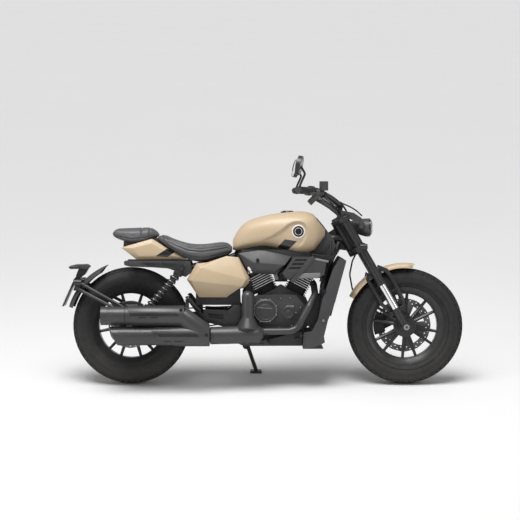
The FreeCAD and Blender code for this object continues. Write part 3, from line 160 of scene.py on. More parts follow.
def dust_group():
    """Road dust: a mask that is strongest near the ground and fades with height."""
    group, given, out = value_group("road_dust", "Mask", Reach=0.35, Amount=0.3)
    place = new_node(group, "ShaderNodeTexCoord")
    parts = new_node(group, "ShaderNodeSeparateXYZ")
    fade = new_node(group, "ShaderNodeMapRange", From_Min=0.0, To_Min=1.0, To_Max=0.0)
    patches = new_node(group, "ShaderNodeTexNoise", Scale=14.0, Detail=5.0)
    both = new_node(group, "ShaderNodeMath", operation="MULTIPLY")
    scaled = new_node(group, "ShaderNodeMath", operation="MULTIPLY")
    linked(group, (place, "Object", parts, 0), (place, "Object", patches, "Vector"),
           (parts, "Z", fade, "Value"), (given, "Reach", fade, "From Max"), (fade, "Result", both, 0),
           (patches, "Fac", both, 1), (both, 0, scaled, 0), (given, "Amount", scaled, 1),
           (scaled, 0, out, "Mask"))
    return group


MOTTLE = mottle_group()
GRAIN = grain_group()
DUST = dust_group()
DUST_COLOR = (0.33, 0.30, 0.26, 1)


# Materials
def new_material(name, **values):
    """A material with its shader's own values, its tree and its shader."""
    made = bpy.data.materials.new(name)
    made.use_nodes = True
    return made, made.node_tree, with_values(made.node_tree.nodes["Principled BSDF"], **values)


def shared(tree, group, **values):
    """One of the shared groups, placed in a material with its own values."""
    return new_node(tree, "ShaderNodeGroup", node_tree=group, **values)


def rgba(tone):
    """A tone given as red, green and blue, or as a grey and its blue, as a shader takes it."""
    return (*tone, 1) if len(tone) == 3 else (tone[0], *tone, 1)


def finish(name, dark, light, rough, grain=None, metallic=0.0, patches=9.0, coat=0.0, dust=0.0):
    """A surface with patches between two tones, a range of roughness, a grain and dust.

    The grain is given by its strength and its scale."""
    made, tree, shader = new_material(name, Metallic=metallic, Coat_Weight=coat, Coat_Roughness=0.12)
    tone = shared(tree, MOTTLE, Scale=patches)
    shine = shared(tree, MOTTLE, Scale=patches * 2.3, Low=rough[0], High=rough[1])
    colour = last = new_node(tree, "ShaderNodeMix", data_type="RGBA")
    colour.inputs[6].default_value = rgba(dark)
    colour.inputs[7].default_value = rgba(light)
    linked(tree, (tone, "Value", colour, "Factor"), (shine, "Value", shader, "Roughness"))
    if dust > 0:
        mask = shared(tree, DUST, Amount=dust)
        last = new_node(tree, "ShaderNodeMix", data_type="RGBA")
        last.inputs[7].default_value = DUST_COLOR
        linked(tree, (colour, 2, last, 6), (mask, "Mask", last, "Factor"))
    linked(tree, (last, 2, shader, "Base Color"))
    if grain:
        relief = shared(tree, GRAIN, Scale=grain[1])
        bump = new_node(tree, "ShaderNodeBump", Strength=grain[0], Distance=0.0006)
        linked(tree, (relief, "Height", bump, "Height"), (bump, "Normal", shader, "Normal"))
    return made


def clear_glass(name, tint):
    """A clear lens with a faint haze."""
    made, tree, shader = new_material(name, Base_Color=(*tint, 1), Transmission_Weight=0.92, IOR=1.45)
    haze = shared(tree, MOTTLE, Scale=12.0, Low=0.02, High=0.05)
    linked(tree, (haze, "Value", shader, "Roughness"))
    return made


SAND = finish("sand_paint", (0.455, 0.35, 0.225), (0.49, 0.38, 0.25), (0.42, 0.5), grain=(0.04, 900), patches=5,
              coat=0.12)
FRAME_BLACK = finish("frame_black", (0.012, 0.013), (0.022, 0.023), (0.3, 0.42), grain=(0.1, 700), dust=0.06)
WHEEL_BLACK = finish("wheel_black", (0.010, 0.011), (0.018, 0.019), (0.28, 0.4), grain=(0.08, 600), dust=0.08)
CASTING = finish("dark_casting", (0.02, 0.021), (0.035, 0.036), (0.38, 0.55), grain=(0.3, 420), dust=0.05)
PLASTIC = finish("dark_plastic", (0.034, 0.036), (0.046, 0.048), (0.42, 0.56), grain=(0.3, 650), dust=0.08)
GLOSS_BLACK = finish("gloss_black", (0.006, 0.006), (0.011, 0.011), (0.12, 0.2), coat=0.4)
EXHAUST = finish("exhaust_black", (0.030, 0.031), (0.045, 0.044, 0.044), (0.3, 0.42), grain=(0.08, 500),
                 patches=4, dust=0.1)
CHROME = finish("fork_chrome", (0.75, 0.77), (0.85, 0.86), (0.05, 0.1), metallic=1.0)
STEEL = finish("machined_steel", (0.42, 0.43), (0.6, 0.61), (0.22, 0.36), grain=(0.15, 900), metallic=1.0)
FIN_EDGE = finish("fin_edge", (0.8, 0.8), (0.9, 0.9), (0.2, 0.35), metallic=0.25)
# Painted shade: a near-black laid as sheets along grooves and in hollows that the meshes don't have
PAINTED_GROOVE_SHADE = finish("groove_black", (0.010, 0.010), (0.016, 0.016), (0.3, 0.4), grain=(0.08, 500), patches=4)
BARREL_BLACK = finish("barrel_black", (0.006, 0.006), (0.011, 0.011), (0.45, 0.6), grain=(0.2, 420))
DISC_STEEL = finish("disc_steel", (0.16, 0.165), (0.24, 0.245), (0.3, 0.42), grain=(0.1, 900), metallic=1.0)
# Pale plastic, also used as painted highlight on the front covers' lips
PALE_PLASTIC_AND_PAINTED_HIGHLIGHT = finish("pale_plastic", (0.16, 0.165), (0.21, 0.215), (0.35, 0.5), grain=(0.2, 650))
SPRING_STEEL = finish("spring_steel", (0.1, 0.105), (0.2, 0.205), (0.18, 0.3), metallic=0.9)
RUBBER = finish("tyre_rubber", (0.008, 0.008), (0.014, 0.0137, 0.0137), (0.7, 0.85), grain=(0.35, 420),
                patches=16, dust=0.1)
SOFT_RUBBER = finish("black_rubber", (0.014, 0.014), (0.024, 0.024), (0.55, 0.7), grain=(0.3, 500))
LEATHER = finish("seat_leather", (0.058, 0.061), (0.088, 0.092), (0.4, 0.54), grain=(0.55, 330), patches=12)
THREAD = finish("seam_thread", (0.06, 0.065), (0.1, 0.105), (0.6, 0.7))
CORE = finish("radiator_core", (0.008, 0.008), (0.02, 0.02), (0.5, 0.7), metallic=0.4)
MIRROR_GLASS = finish("mirror_glass", (0.8, 0.82, 0.84), (0.86, 0.87, 0.88), (0.01, 0.03), metallic=1.0)
LENS = clear_glass("clear_lens", (0.95, 0.97, 1.0))
LAMP_RED = finish("lamp_red", (0.16, 0.004, 0.004), (0.3, 0.012, 0.01), (0.1, 0.16), coat=0.5)
PLATE_WHITE = finish("plate_white", (0.62, 0.62), (0.72, 0.72), (0.3, 0.4), dust=0.1)
DIAL_FACE = finish("dial_face", (0.004, 0.005), (0.008, 0.01), (0.05, 0.1), coat=0.6)
MARK_WHITE = finish("mark_white", (0.7, 0.7), (0.8, 0.8), (0.3, 0.4))

# The frame's own pieces that stay in sight; every other one is stood for by a piece below
NODE_FINISH = {
    FRAME_BLACK: "frame_spine frame_cradle fender_arms side_stand rider_pegs handlebar fork_tubes mirrors "
                 "shock_dampers",
    CASTING: "rack_bosses",
    PLASTIC: "airbox battery_box hand_controls headlight gauge",
    CHROME: "stanchions",
    STEEL: "front_axle rear_axle",
    CORE: "radiator",
    SOFT_RUBBER: "belt brake_hose",
}


def finish_nodes():
    for material, names in NODE_FINISH.items():
        for name in names.split():
            mesh = frame["nodes"][name].data
            mesh.materials.clear()
            mesh.materials.append(material)


# Mesh helpers
def placed(name, data):
    """A new object in the scene."""
    made = bpy.data.objects.new(name, data)
    bpy.context.scene.collection.objects.link(made)
    return made


def new_piece(name, mesh, *materials):
    for material in materials:
        mesh.materials.append(material)
    return placed(name, mesh)


def from_bmesh(name, shape, *materials):
    mesh = bpy.data.meshes.new(name)
    shape.to_mesh(mesh)
    shape.free()
    return new_piece(name, mesh, *materials)


def shape_of(mesh):
    shape = bmesh.new()
    shape.from_mesh(mesh)
    return shape


def outward(shape):
    """All faces of the shape turned outwards."""
    bmesh.ops.recalc_face_normals(shape, faces=shape.faces[:])


def evaluated(piece):
    """The piece as its modifiers make it."""
    return piece.evaluated_get(bpy.context.evaluated_depsgraph_get())


def from_curve(name, curve, material):
    """The mesh that a curve makes."""
    holder = placed(name + "_path", curve)
    mesh = bpy.data.meshes.new_from_object(evaluated(holder))
    bpy.data.objects.remove(holder)
    mesh.materials.clear()
    return new_piece(name, mesh, material)


def smooth(piece, angle):
    """Shade round, with the edges sharper than the angle left hard."""
    piece.data.shade_smooth()
    piece.data.set_sharp_from_angle(angle=math.radians(angle))


def baked(piece, kind=None, **values):
    """The piece with its modifiers, and one of this kind if given, applied to its mesh."""
    if kind:
        extra = piece.modifiers.new(kind.lower(), kind)
        for key, value in values.items():
            setattr(extra, key, value)
    mesh = bpy.data.meshes.new_from_object(evaluated(piece))
    piece.modifiers.clear()
    old = piece.data
    piece.data = mesh
    mesh.name = piece.name
    bpy.data.meshes.remove(old)
    return piece


def bevelled(piece, width, segments=3, angle=30):
    """Rounded edges, in the piece's own unit."""
    return baked(piece, "BEVEL", width=width, segments=segments, limit_method="ANGLE",
                 angle_limit=math.radians(angle))


def walled(piece, thick):
    """The sheet with a wall of this thickness behind it."""
    return baked(piece, "SOLIDIFY", thickness=thick, offset=-1)


def held(piece, body, slot, angle, *nodes):
    """A piece in the frame rides on its body and stands for its nodes."""
    smooth(piece, angle)
    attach(piece, body)
    if nodes:
        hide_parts(*nodes)


def settled(piece, slot, *nodes, body="chassis", angle=40):
    """A piece drawn upright goes into the frame and is held there."""
    piece.data.transform(TO_FRAME)
    held(piece, body, slot, angle, *nodes)
    return piece


def moved(piece, *move):
    piece.data.transform(Matrix.Translation(move))
    return piece


def both_sides(piece):
    """The piece and its mirror image across the middle plane, in one mesh."""
    shape = shape_of(piece.data)
    copy = bmesh.ops.duplicate(shape, geom=shape.verts[:] + shape.edges[:] + shape.faces[:])["geom"]
    for vert in copy:
        if isinstance(vert, bmesh.types.BMVert):
            vert.co.y = -vert.co.y
    bmesh.ops.reverse_faces(shape, faces=[f for f in copy if isinstance(f, bmesh.types.BMFace)])
    shape.to_mesh(piece.data)
    shape.free()
    return piece


def turned_outward(piece):
    shape = shape_of(piece.data)
    outward(shape)
    shape.to_mesh(piece.data)
    shape.free()
    return piece


def joined(name, pieces):
    """Several pieces in one mesh, each face with its own material."""
    shape = bmesh.new()
    materials = []
    for piece in pieces:
        start = len(shape.faces)
        shape.from_mesh(piece.data)
        shape.faces.ensure_lookup_table()
        own = list(piece.data.materials)
        for face in shape.faces[start:]:
            material = own[min(face.material_index, len(own) - 1)]
            if material not in materials:
                materials.append(material)
            face.material_index = materials.index(material)
        bpy.data.objects.remove(piece)
    return from_bmesh(name, shape, *materials)


def skinned(name, rows, material, around=False):
    """A skin over rings of points: closed by its first and last ring, or around to the first."""
    shape = bmesh.new()
    rings = [[shape.verts.new(point) for point in row] for row in rows]
    for near, far in zip(rings, rings[1:] + rings[:1] if around else rings[1:]):
        for k in range(len(near)):
            shape.faces.new((near[k - 1], near[k], far[k], far[k - 1]))
    if around:
        bmesh.ops.remove_doubles(shape, verts=shape.verts[:], dist=1e-4)
    else:
        shape.faces.new(rings[0])
        shape.faces.new(rings[-1])
    outward(shape)
    return from_bmesh(name, shape, material)


def lathe(name, profile, centre, axis, material, steps=96):
    """A closed profile of (radius, along) points turned about an axis."""
    axis = axis.normalized()
    side = axis.orthogonal().normalized()
    up = axis.cross(side)
    rows = []
    for step in range(steps):
        turn = 2 * math.pi * step / steps
        out = side * math.cos(turn) + up * math.sin(turn)
        rows.append([centre + out * r + axis * y for r, y in profile])
    return skinned(name, rows, material, around=True)


def slab(name, outline, y0, y1, material, edge=2.0, segments=3):
    """A flat piece with its outline in the side view and rounded edges."""
    rows = [[(x, y, z) for x, z in outline] for y in (y0, y1)]
    return bevelled(skinned(name, rows, material), edge, segments)


def faceted(name, inner, outer, crown, facets, material):
    """A cover over a flat inner ring, its facets given by numbers into outer and then crown."""
    shape = bmesh.new()
    inner, outer, crown = [[shape.verts.new(point) for point in row] for row in (inner, outer, crown)]
    shape.faces.new(inner)
    for k in range(len(inner)):
        shape.faces.new((inner[k - 1], inner[k], outer[k], outer[k - 1]))
    front = outer + crown
    for facet in facets:
        shape.faces.new([front[k] for k in facet])
    many = [f for f in shape.faces if len(f.verts) > 4 and f.verts[0] not in inner]
    bmesh.ops.triangulate(shape, faces=many)
    outward(shape)
    return bevelled(from_bmesh(name, shape, material), 3.5, 3, 8)


def bar(name, points, radius, material, curved=True):
    """A round bar or hose along a path."""
    curve = bpy.data.curves.new(name, "CURVE")
    curve.dimensions = "3D"
    curve.bevel_depth = radius
    curve.bevel_resolution = 5
    curve.resolution_u = 10
    curve.use_fill_caps = True
    spline = curve.splines.new("NURBS" if curved else "POLY")
    spline.points.add(len(points) - 1)
    for place, point in zip(spline.points, points):
        place.co = (*point, 1)
    if curved:
        spline.order_u = 3
        spline.use_endpoint_u = True
    return from_curve(name, curve, material)


def softened(node, width, material, slot, segments=2):
    """A copy of a node with its edges rounded, in millimetres, which stands for it."""
    source = frame["nodes"][node]
    shape = shape_of(source.data)
    bmesh.ops.remove_doubles(shape, verts=shape.verts[:], dist=1e-6)
    bmesh.ops.dissolve_limit(shape, angle_limit=math.radians(1.0), verts=shape.verts[:], edges=shape.edges[:])
    piece = bevelled(from_bmesh(node + "_form", shape, material), width / 1000, segments, 32)
    held(piece, source["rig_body"], slot, 35, node)


def melted(node, voxel, passes, material, slot):
    """A copy of a node with its junctions run together, as castings and welded pipes have."""
    source = frame["nodes"][node]
    mesh = source.data.copy()
    mesh.materials.clear()
    piece = baked(new_piece(node + "_form", mesh, material), "WELD", merge_threshold=1e-6)
    baked(piece, "REMESH", mode="VOXEL", voxel_size=voxel / 1000)
    baked(piece, "SMOOTH", factor=0.5, iterations=passes)
    held(piece, source["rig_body"], slot, 60, node)


# Repeats by Geometry Nodes
def tree_with(name, **inputs):
    """A geometry tree with its inputs, its input node and its output node."""
    tree = bpy.data.node_groups.new(name, "GeometryNodeTree")
    tree.interface.new_socket("Geometry", in_out="OUTPUT", socket_type="NodeSocketGeometry")
    for label, kind in inputs.items():
        tree.interface.new_socket(label, in_out="INPUT", socket_type="NodeSocket" + kind)
    return tree, tree.nodes.new("NodeGroupInput"), tree.nodes.new("NodeGroupOutput")


def painted_end(tree, given, out, last):
    """What the last node makes, as a real mesh in the given finish, is the tree's result."""
    real = new_node(tree, "GeometryNodeRealizeInstances")
    painted = new_node(tree, "GeometryNodeSetMaterial")
    linked(tree, (last, 0, real, 0), (real, 0, painted, "Geometry"), (given, "Finish", painted, "Material"),
           (painted, 0, out, 0))
    return tree


def copies_end(tree, given, out, points, turns):
    """Copies of the given piece on points are the tree's result."""
    source = new_node(tree, "GeometryNodeObjectInfo")
    copies = new_node(tree, "GeometryNodeInstanceOnPoints")
    linked(tree, (given, "Piece", source, "Object"), (*points, copies, "Points"),
           (source, "Geometry", copies, "Instance"), (turns, 0, copies, "Rotation"))
    return painted_end(tree, given, out, copies)


def repeat_tree():
    """Copies of a piece, each one step and one turn about Y further than the last."""
    tree, given, out = tree_with("repeat", Piece="Object", Count="Int", Step="Vector", Turn="Float",
                                 Finish="Material")
    places = new_node(tree, "GeometryNodePoints")
    index = new_node(tree, "GeometryNodeInputIndex")
    shift = new_node(tree, "ShaderNodeVectorMath", operation="SCALE")
    turned = new_node(tree, "ShaderNodeMath", operation="MULTIPLY")
    angles = new_node(tree, "ShaderNodeCombineXYZ")
    linked(tree, (given, "Count", places, "Count"), (given, "Step", shift, 0), (index, 0, shift, "Scale"),
           (shift, 0, places, "Position"), (index, 0, turned, 0), (given, "Turn", turned, 1),
           (turned, 0, angles, "Y"))
    return copies_end(tree, given, out, (places, 0), angles)


def aimed_tree():
    """A piece on every point of a mesh, its Z along the point's own direction."""
    tree, given, out = tree_with("aimed", Places="Geometry", Piece="Object", Finish="Material")
    out_way = new_node(tree, "GeometryNodeInputNamedAttribute", data_type="FLOAT_VECTOR", Name="out")
    aim = new_node(tree, "FunctionNodeAlignRotationToVector", axis="Z")
    linked(tree, (out_way, 0, aim, "Vector"))
    return copies_end(tree, given, out, (given, "Places"), aim)


def coil_tree():
    """A coil spring: a round wire swept along a spiral."""
    tree, given, out = tree_with("coil", Turns="Float", Radius="Float", Height="Float", Wire="Float",
                                 Finish="Material")
    spiral = new_node(tree, "GeometryNodeCurveSpiral", Resolution=32)
    section = new_node(tree, "GeometryNodeCurvePrimitiveCircle", Resolution=10)
    swept = new_node(tree, "GeometryNodeCurveToMesh", Fill_Caps=True)
    linked(tree, (given, "Turns", spiral, "Rotations"), (given, "Radius", spiral, "Start Radius"),
           (given, "Radius", spiral, "End Radius"), (given, "Height", spiral, "Height"),
           (given, "Wire", section, "Radius"), (spiral, 0, swept, "Curve"),
           (section, 0, swept, "Profile Curve"))
    return painted_end(tree, given, out, swept)


REPEAT = repeat_tree()
AIMED = aimed_tree()
COIL = coil_tree()


def grown(name, mesh, tree, **values):
    """The plain mesh that a tree makes with these values."""
    piece = new_piece(name, mesh)
    nodes = piece.modifiers.new("made", "NODES")
    nodes.node_group = tree
    sockets = {item.name: item.identifier for item in tree.interface.items_tree if item.in_out == "INPUT"}
    for key, value in values.items():
        nodes[sockets[key]] = value
    return baked(piece)


def repeated(name, piece, count, material, step=(0, 0, 0), turn=0.0):
    made = grown(name, bpy.data.meshes.new(name), REPEAT, Piece=piece, Count=count, Step=step, Turn=turn,
                 Finish=material)
    bpy.data.objects.remove(piece)
    return made


def aimed(name, piece, places, material):
    """Copies of a piece at (point, direction) pairs."""
    points = bpy.data.meshes.new(name)
    points.from_pydata([point for point, way in places], [], [])
    ways = points.attributes.new("out", "FLOAT_VECTOR", "POINT")
    for item, (point, way) in zip(ways.data, places):
        item.vector = way
    made = grown(name, points, AIMED, Piece=piece, Finish=material)
    bpy.data.objects.remove(piece)
    return made


def screws(name, places, radius, body="chassis", material=STEEL):
    """Socket screws at (point, direction) pairs."""
    profile = [(0, -2), (radius, -2), (radius, 0.55 * radius), (0.8 * radius, 0.8 * radius),
               (0.5 * radius, 0.8 * radius), (0.45 * radius, 0.2 * radius), (0, 0.2 * radius)]
    head = lathe(name + "_head", profile, ORIGIN, UP, material, steps=12)
    settled(aimed(name, head, places, material), "bright_steel", body=body)


def polar(radius, angle):
    """A point of the side view, at an angle in degrees round the origin."""
    return radius * math.cos(math.radians(angle)), radius * math.sin(math.radians(angle))


def circle(centre, radius, count, start=0.0, squash=1.0):
    """Side-view points spread evenly round a centre, from start degrees."""
    spread = [polar(radius, start + 360 * k / count) for k in range(count)]
    return [(centre[0] + x, centre[1] + z * squash) for x, z in spread]


def facing_out(points, y):
    """Places at side-view points that face away from the middle plane."""
    return [(Vector((x, y, z)), (0, math.copysign(1, y), 0)) for x, z in points]


# Soft sections, as the tank and the seats have
def between(rows, steps):
    """More rows of numbers between the given ones, along a smooth curve."""
    fine = []
    last = len(rows) - 1
    for i in range(last):
        a, b, c, d = rows[max(i - 1, 0)], rows[i], rows[i + 1], rows[min(i + 2, last)]
        for k in range(steps):
            t = k / steps
            fine.append([
                q + 0.5 * t * (r - p + t * (2 * p - 5 * q + 4 * r - s + t * (3 * (q - r) + s - p)))
                for p, q, r, s in zip(a, b, c, d)
            ])
    return fine + [list(rows[-1])]


def oval(x, half, top, bottom, count=64, squareness=0.75, widest=0.55):
    middle = top - widest * (top - bottom)
    points = []
    for k in range(count):
        turn = 2 * math.pi * k / count
        out, up = math.cos(turn), math.sin(turn)
        reach = top - middle if up > 0 else middle - bottom
        y = half * math.copysign(abs(out) ** squareness, out)
        z = middle + reach * math.copysign(abs(up) ** squareness, up)
        points.append(Vector((x, y, z)))
    return points


def oval_skin(name, sections, material, **form):
    """A closed skin over oval sections."""
    return skinned(name, [oval(*section, **form) for section in sections], material)


def ease(low, high, value):
    """0 below low, 1 above high, and a soft step between."""
    t = min(max((value - low) / (high - low), 0), 1)
    return t * t * (3 - 2 * t)


def height_on(line, x):
    """The height of a broken line at x."""
    for (x0, z0), (x1, z1) in zip(line, line[1:]):
        if x0 <= x <= x1:
            return z0 + (z1 - z0) * (x - x0) / (x1 - x0)
    return line[0][1] if x < line[0][0] else line[-1][1]


# Bodywork
TANK = [(-195, 62, 796, 742), (-165, 84, 850, 734), (-114, 104, 898, 740), (-20, 128, 930, 756),
        (80, 146, 947, 740), (170, 150, 954, 718), (240, 138, 943, 724), (280, 118, 902, 770),
        (312, 84, 862, 812)]
HOLLOW = [(-60, 784), (-28, 803), (17, 822), (62, 849), (107, 885), (135, 898), (162, 902), (189, 898),
          (209, 880), (218, 853), (214, 822), (200, 790), (178, 756)]
LOWER_RIDGE = [(-190, 752), (-164, 763), (-110, 778), (-55, 789), (-1, 790), (44, 780), (70, 768)]
TANK_EDGE = [(-184, 728), (-169, 733), (-92, 753), (-46, 760), (-1, 757), (53, 745), (107, 731), (162, 720),
             (205, 718), (234, 724), (252, 738)]
STRIP_FOOT = [(-184, 722), (-151, 708), (-92, 717), (-28, 731), (17, 729), (130, 708), (200, 706),
              (234, 712), (252, 716)]
BADGE = (165, 844)
BADGE_R = 36.0


def from_line(line, x, z):
    """The distance of a point to a broken line, and whether it lies on the line's lower side."""
    best, below = 1e9, False
    for (x0, z0), (x1, z1) in zip(line, line[1:]):
        dx, dz = x1 - x0, z1 - z0
        t = min(max(((x - x0) * dx + (z - z0) * dz) / (dx * dx + dz * dz), 0), 1)
        away = math.hypot(x - x0 - t * dx, z - z0 - t * dz)
        if away < best:
            best, below = away, dx * (z - z0) - dz * (x - x0) < 0
    return best, below


def fuel_tank():
    """The tank, with a hollow flank under a crease that sweeps over and round the badge."""
    spine, hollow_depth, ridge_depth = 20, 16, 9
    rows = [oval(*section, count=160) for section in between(TANK, 18)]
    for point in [point for row in rows for point in row if abs(point.y) >= spine]:
        away, inside = from_line(HOLLOW, point.x, point.z)
        depth = 0.0
        if inside:
            depth = hollow_depth * ease(0, 14, away) * ease(-60, 50, point.x) * ease(742, 790, point.z)
        ridge = height_on(LOWER_RIDGE, point.x)
        ends = ease(-186, -150, point.x) * (1 - ease(30, 80, point.x))
        depth += ridge_depth * ease(0, 18, ridge - point.z) * ends
        point.y -= math.copysign(min(depth, abs(point.y) - spine / 2), point.y)
    return settled(skinned("fuel_tank_skin", rows, SAND), "sand_paint", "fuel_tank", angle=60)


def surface_of(piece):
    """The piece's surface, upright, to lay trim on."""
    shape = shape_of(piece.data)
    shape.transform(TO_UPRIGHT)
    tree = BVHTree.FromBMesh(shape)
    shape.free()
    return tree


def laid_on(surface, side, patch, material, lift):
    """A thin sheet laid on a surface, from a patch of points and faces in the side view."""
    outside, beside, sunk = 400, 110, 0.6
    shape = bmesh.new()
    verts = []
    for x, z in patch[0]:
        hit, normal = surface.ray_cast(Vector((x, side * outside, z)), Vector((0, -side, 0)))[:2]
        if hit is None:
            hit, normal = surface.find_nearest(Vector((x, side * beside, z)))[:2]
        verts.append(shape.verts.new(hit + normal * lift))
    for face in patch[1]:
        shape.faces.new([verts[i] for i in face])
    outward(shape)
    for face in shape.faces:
        if face.normal.y * side < 0:
            face.normal_flip()
    return walled(from_bmesh("sheet", shape, material), lift + sunk)


def quad_patch(corners, steps):
    """A grid of side-view points and faces over four corners."""
    a, b, c, d = [Vector(corner) for corner in corners]
    points, faces = [], []
    for i in range(steps + 1):
        for j in range(steps + 1):
            u, v = i / steps, j / steps
            points.append((a * (1 - u) + b * u) * (1 - v) + (d * (1 - u) + c * u) * v)
    for i in range(steps):
        for j in range(steps):
            k = i * (steps + 1) + j
            faces.append((k, k + 1, k + steps + 2, k + steps + 1))
    return [tuple(point) for point in points], faces


def disc_patch(centre, radii, steps=40):
    """Rings of side-view points and faces round a centre."""
    points = [point for r in radii for point in circle(centre, r, steps)]
    faces = []
    for i in range(0, steps * (len(radii) - 1), steps):
        for k in range(steps):
            m = (k + 1) % steps
            faces.append((i + k, i + m, i + steps + m, i + steps + k))
    return points, faces


def tank_trim(tank):
    """The dark flash, the plain round badge, the strip along the tank's lower edge and the cap."""
    surface = surface_of(tank)
    sheets = (
        (quad_patch([(91, 801), (157, 791), (108, 742), (50, 756)], 18), GLOSS_BLACK, 0.9),
        (disc_patch(BADGE, (BADGE_R, BADGE_R - 2, BADGE_R - 6)), FIN_EDGE, 2.2),
        (disc_patch(BADGE, (20, 18)), FIN_EDGE, 1.9),
        (disc_patch(BADGE, (BADGE_R - 7, 20, 8, 0.5)), GLOSS_BLACK, 1.4),
    )
    laid = [laid_on(surface, side, *sheet) for side in SIDES for sheet in sheets]
    settled(joined("tank_badges", laid), "sand_paint")
    rows = []
    steps = 42
    for step in range(steps + 1):
        x = TANK_EDGE[0][0] + (TANK_EDGE[-1][0] - TANK_EDGE[0][0]) * step / steps
        top, foot = height_on(TANK_EDGE, x) + 5, height_on(STRIP_FOOT, x)
        hit = surface.ray_cast(Vector((x, 400, top + 2)), -LEFT)[0]
        out = hit.y - 3 if hit is not None else 70
        rows.append([(x, out, top), (x, out + 1, top - 4), (x, out - 3, foot), (x, out - 26, foot),
                     (x, out - 26, top)])
    settled(both_sides(skinned("tank_strip", rows, SOFT_RUBBER)), "black_rubber")
    profile = [(0, -11), (42, -11), (42, -2), (40, 1.5), (31, 2.5), (30, 5), (27, 6.4), (0, 6.6)]
    lid = lathe("tank_lid", profile, Vector((110, 0, 951)), UP, GLOSS_BLACK, 72)
    settled(lid, "bright_steel", "tank_cap")


def puffed(piece, cap):
    """Even cells, then pressure from inside swells the cover a little, by cloth simulation."""
    cell, pressure, frames = 0.005, 4.0, 20
    baked(piece, "REMESH", mode="VOXEL", voxel_size=cell)
    before = [vert.co.copy() for vert in piece.data.vertices]
    cloth = piece.modifiers.new("cover", "CLOTH")
    cloth.settings.use_pressure = True
    cloth.settings.uniform_pressure_force = pressure
    cloth.settings.effector_weights.gravity = 0
    cloth.settings.quality = 5
    scene = bpy.context.scene
    for step in range(1, frames + 1):
        scene.frame_set(step)
    after = [vert.co.copy() for vert in evaluated(piece).data.vertices]
    piece.modifiers.clear()
    scene.frame_set(1)
    for vert, old, new in zip(piece.data.vertices, before, after):
        move = new - old
        if move.length > cap:
            move *= cap / move.length
        vert.co = old + move


RIDER_SEAT = [(-606, 88, 821, 803), (-575, 106, 821, 776), (-515, 124, 795, 734), (-437, 138, 773, 691),
              (-360, 131, 769, 678), (-279, 103, 779, 692), (-230, 82, 782, 710), (-200, 66, 761, 731)]
PILLION_SEAT = [(-858, 58, 832, 822), (-842, 74, 853, 808), (-796, 88, 857, 791), (-745, 94, 859, 780),
                (-680, 96, 861, 787), (-640, 90, 858, 803), (-602, 72, 828, 818)]


def grooved(cushion, sections, along, across):
    """Grooves pressed into a cushion: along it at angles round its section, and across it at X."""
    depth, width_along, width_across = 0.0055, 3.8, 3.6
    lines = [[(row[0], row[k]) for row in sections] for k in (1, 2, 3)]
    # Copied first, because a moved vertex makes the mesh work out every normal again
    normals = [vert.normal.copy() for vert in cushion.data.vertices]
    for vert, normal in zip(cushion.data.vertices, normals):
        at = TO_UPRIGHT @ vert.co
        half, top, bottom = [height_on(line, at.x) for line in lines]
        middle, reach = (top + bottom) / 2, max((top - bottom) / 2, 1)
        up = (at.z - middle) / reach
        turn = math.degrees(math.atan2(math.copysign(abs(up) ** 1.6, up), (abs(at.y) / half) ** 1.6))
        press = 0.0
        for angle, start, end in along:
            ends = ease(start, start + 30, at.x) * (1 - ease(end - 30, end, at.x))
            press = max(press, math.exp(-((turn - angle) / width_along) ** 2) * ends)
        for x in across:
            press = max(press, math.exp(-((at.x - x) / width_across) ** 2) * ease(-40, -10, turn))
        vert.co -= normal * depth * press


def seats():
    rider, pillion = [
        oval_skin(name, between(sections, 7), LEATHER, count=56, squareness=0.62, widest=0.5)
        for name, sections in (("rider_cushion", RIDER_SEAT), ("pillion_cushion", PILLION_SEAT))
    ]
    pleats = [(angle, -560, -206) for angle in (52, 28, 4)]
    forms = (
        (rider, "seat_rider", RIDER_SEAT, pleats + [(-22, -590, -206)], (-572,)),
        (pillion, "seat_pillion", PILLION_SEAT, [(-14, -850, -610)], (-698, -652)),
    )
    for cushion, node, sections, along, across in forms:
        cushion.data.transform(TO_FRAME)
        puffed(cushion, cap=0.003)
        levels = 1
        baked(cushion, "SUBSURF", levels=levels, render_levels=levels)
        grooved(cushion, sections, along, across)
        held(cushion, "chassis", "seat_leather", 70, node)
    seams(rider, pillion)


def seams(rider, pillion):
    """Piping over both cushions, and stitches beside it."""
    on_rider, on_pillion = surface_of(rider), surface_of(pillion)
    sought = [(on_rider, [(section[0], side * 0.5 * section[1]) for section in between(RIDER_SEAT[1:-1], 4)])
              for side in SIDES]
    for surface, x, half in ((on_pillion, -706, 94), (on_pillion, -644, 88), (on_rider, -564, 108)):
        bow = [half * 0.94 * math.sin(math.pi * (k / 16 - 0.5)) for k in range(17)]
        sought.append((surface, [(x, y) for y in bow]))
    lines = []
    for surface, places in sought:
        hits = [surface.ray_cast(Vector((x, y, 1100)), -UP)[:2] for x, y in places]
        lines.append([hit - normal * 0.6 for hit, normal in hits if hit is not None])
    piping = [bar("piping", path, 1.5, LEATHER) for path in lines if len(path) > 3]
    settled(joined("seat_piping", piping), "seat_leather")
    pitch, beside = 7, Vector((0, 3.2, 0.8))
    stitches = []
    for path in lines:
        for a, b in zip(path, path[1:]):
            length = (b - a).length
            for k in range(max(1, int(length / pitch))):
                at = a + (b - a) * ((k + 0.5) * pitch / max(length, pitch))
                stitches.append((at + beside, (b - a).normalized()))
    thread = lathe("stitch", [(0, -2.2), (0.6, -1.6), (0.6, 1.6), (0, 2.2)], ORIGIN, UP, THREAD, steps=5)
    settled(aimed("seat_stitches", thread, stitches, THREAD), "seat_leather")


CASE_EDGE = [(-446, 581), (-394, 670), (-335, 675), (-227, 710), (-161, 703), (-102, 592), (-104, 564),
             (-130, 536), (-175, 526), (-224, 484), (-380, 484)]
CASE_RIDGE = [(-369, 648), (-120, 582), (-140, 545), (-421, 577)]


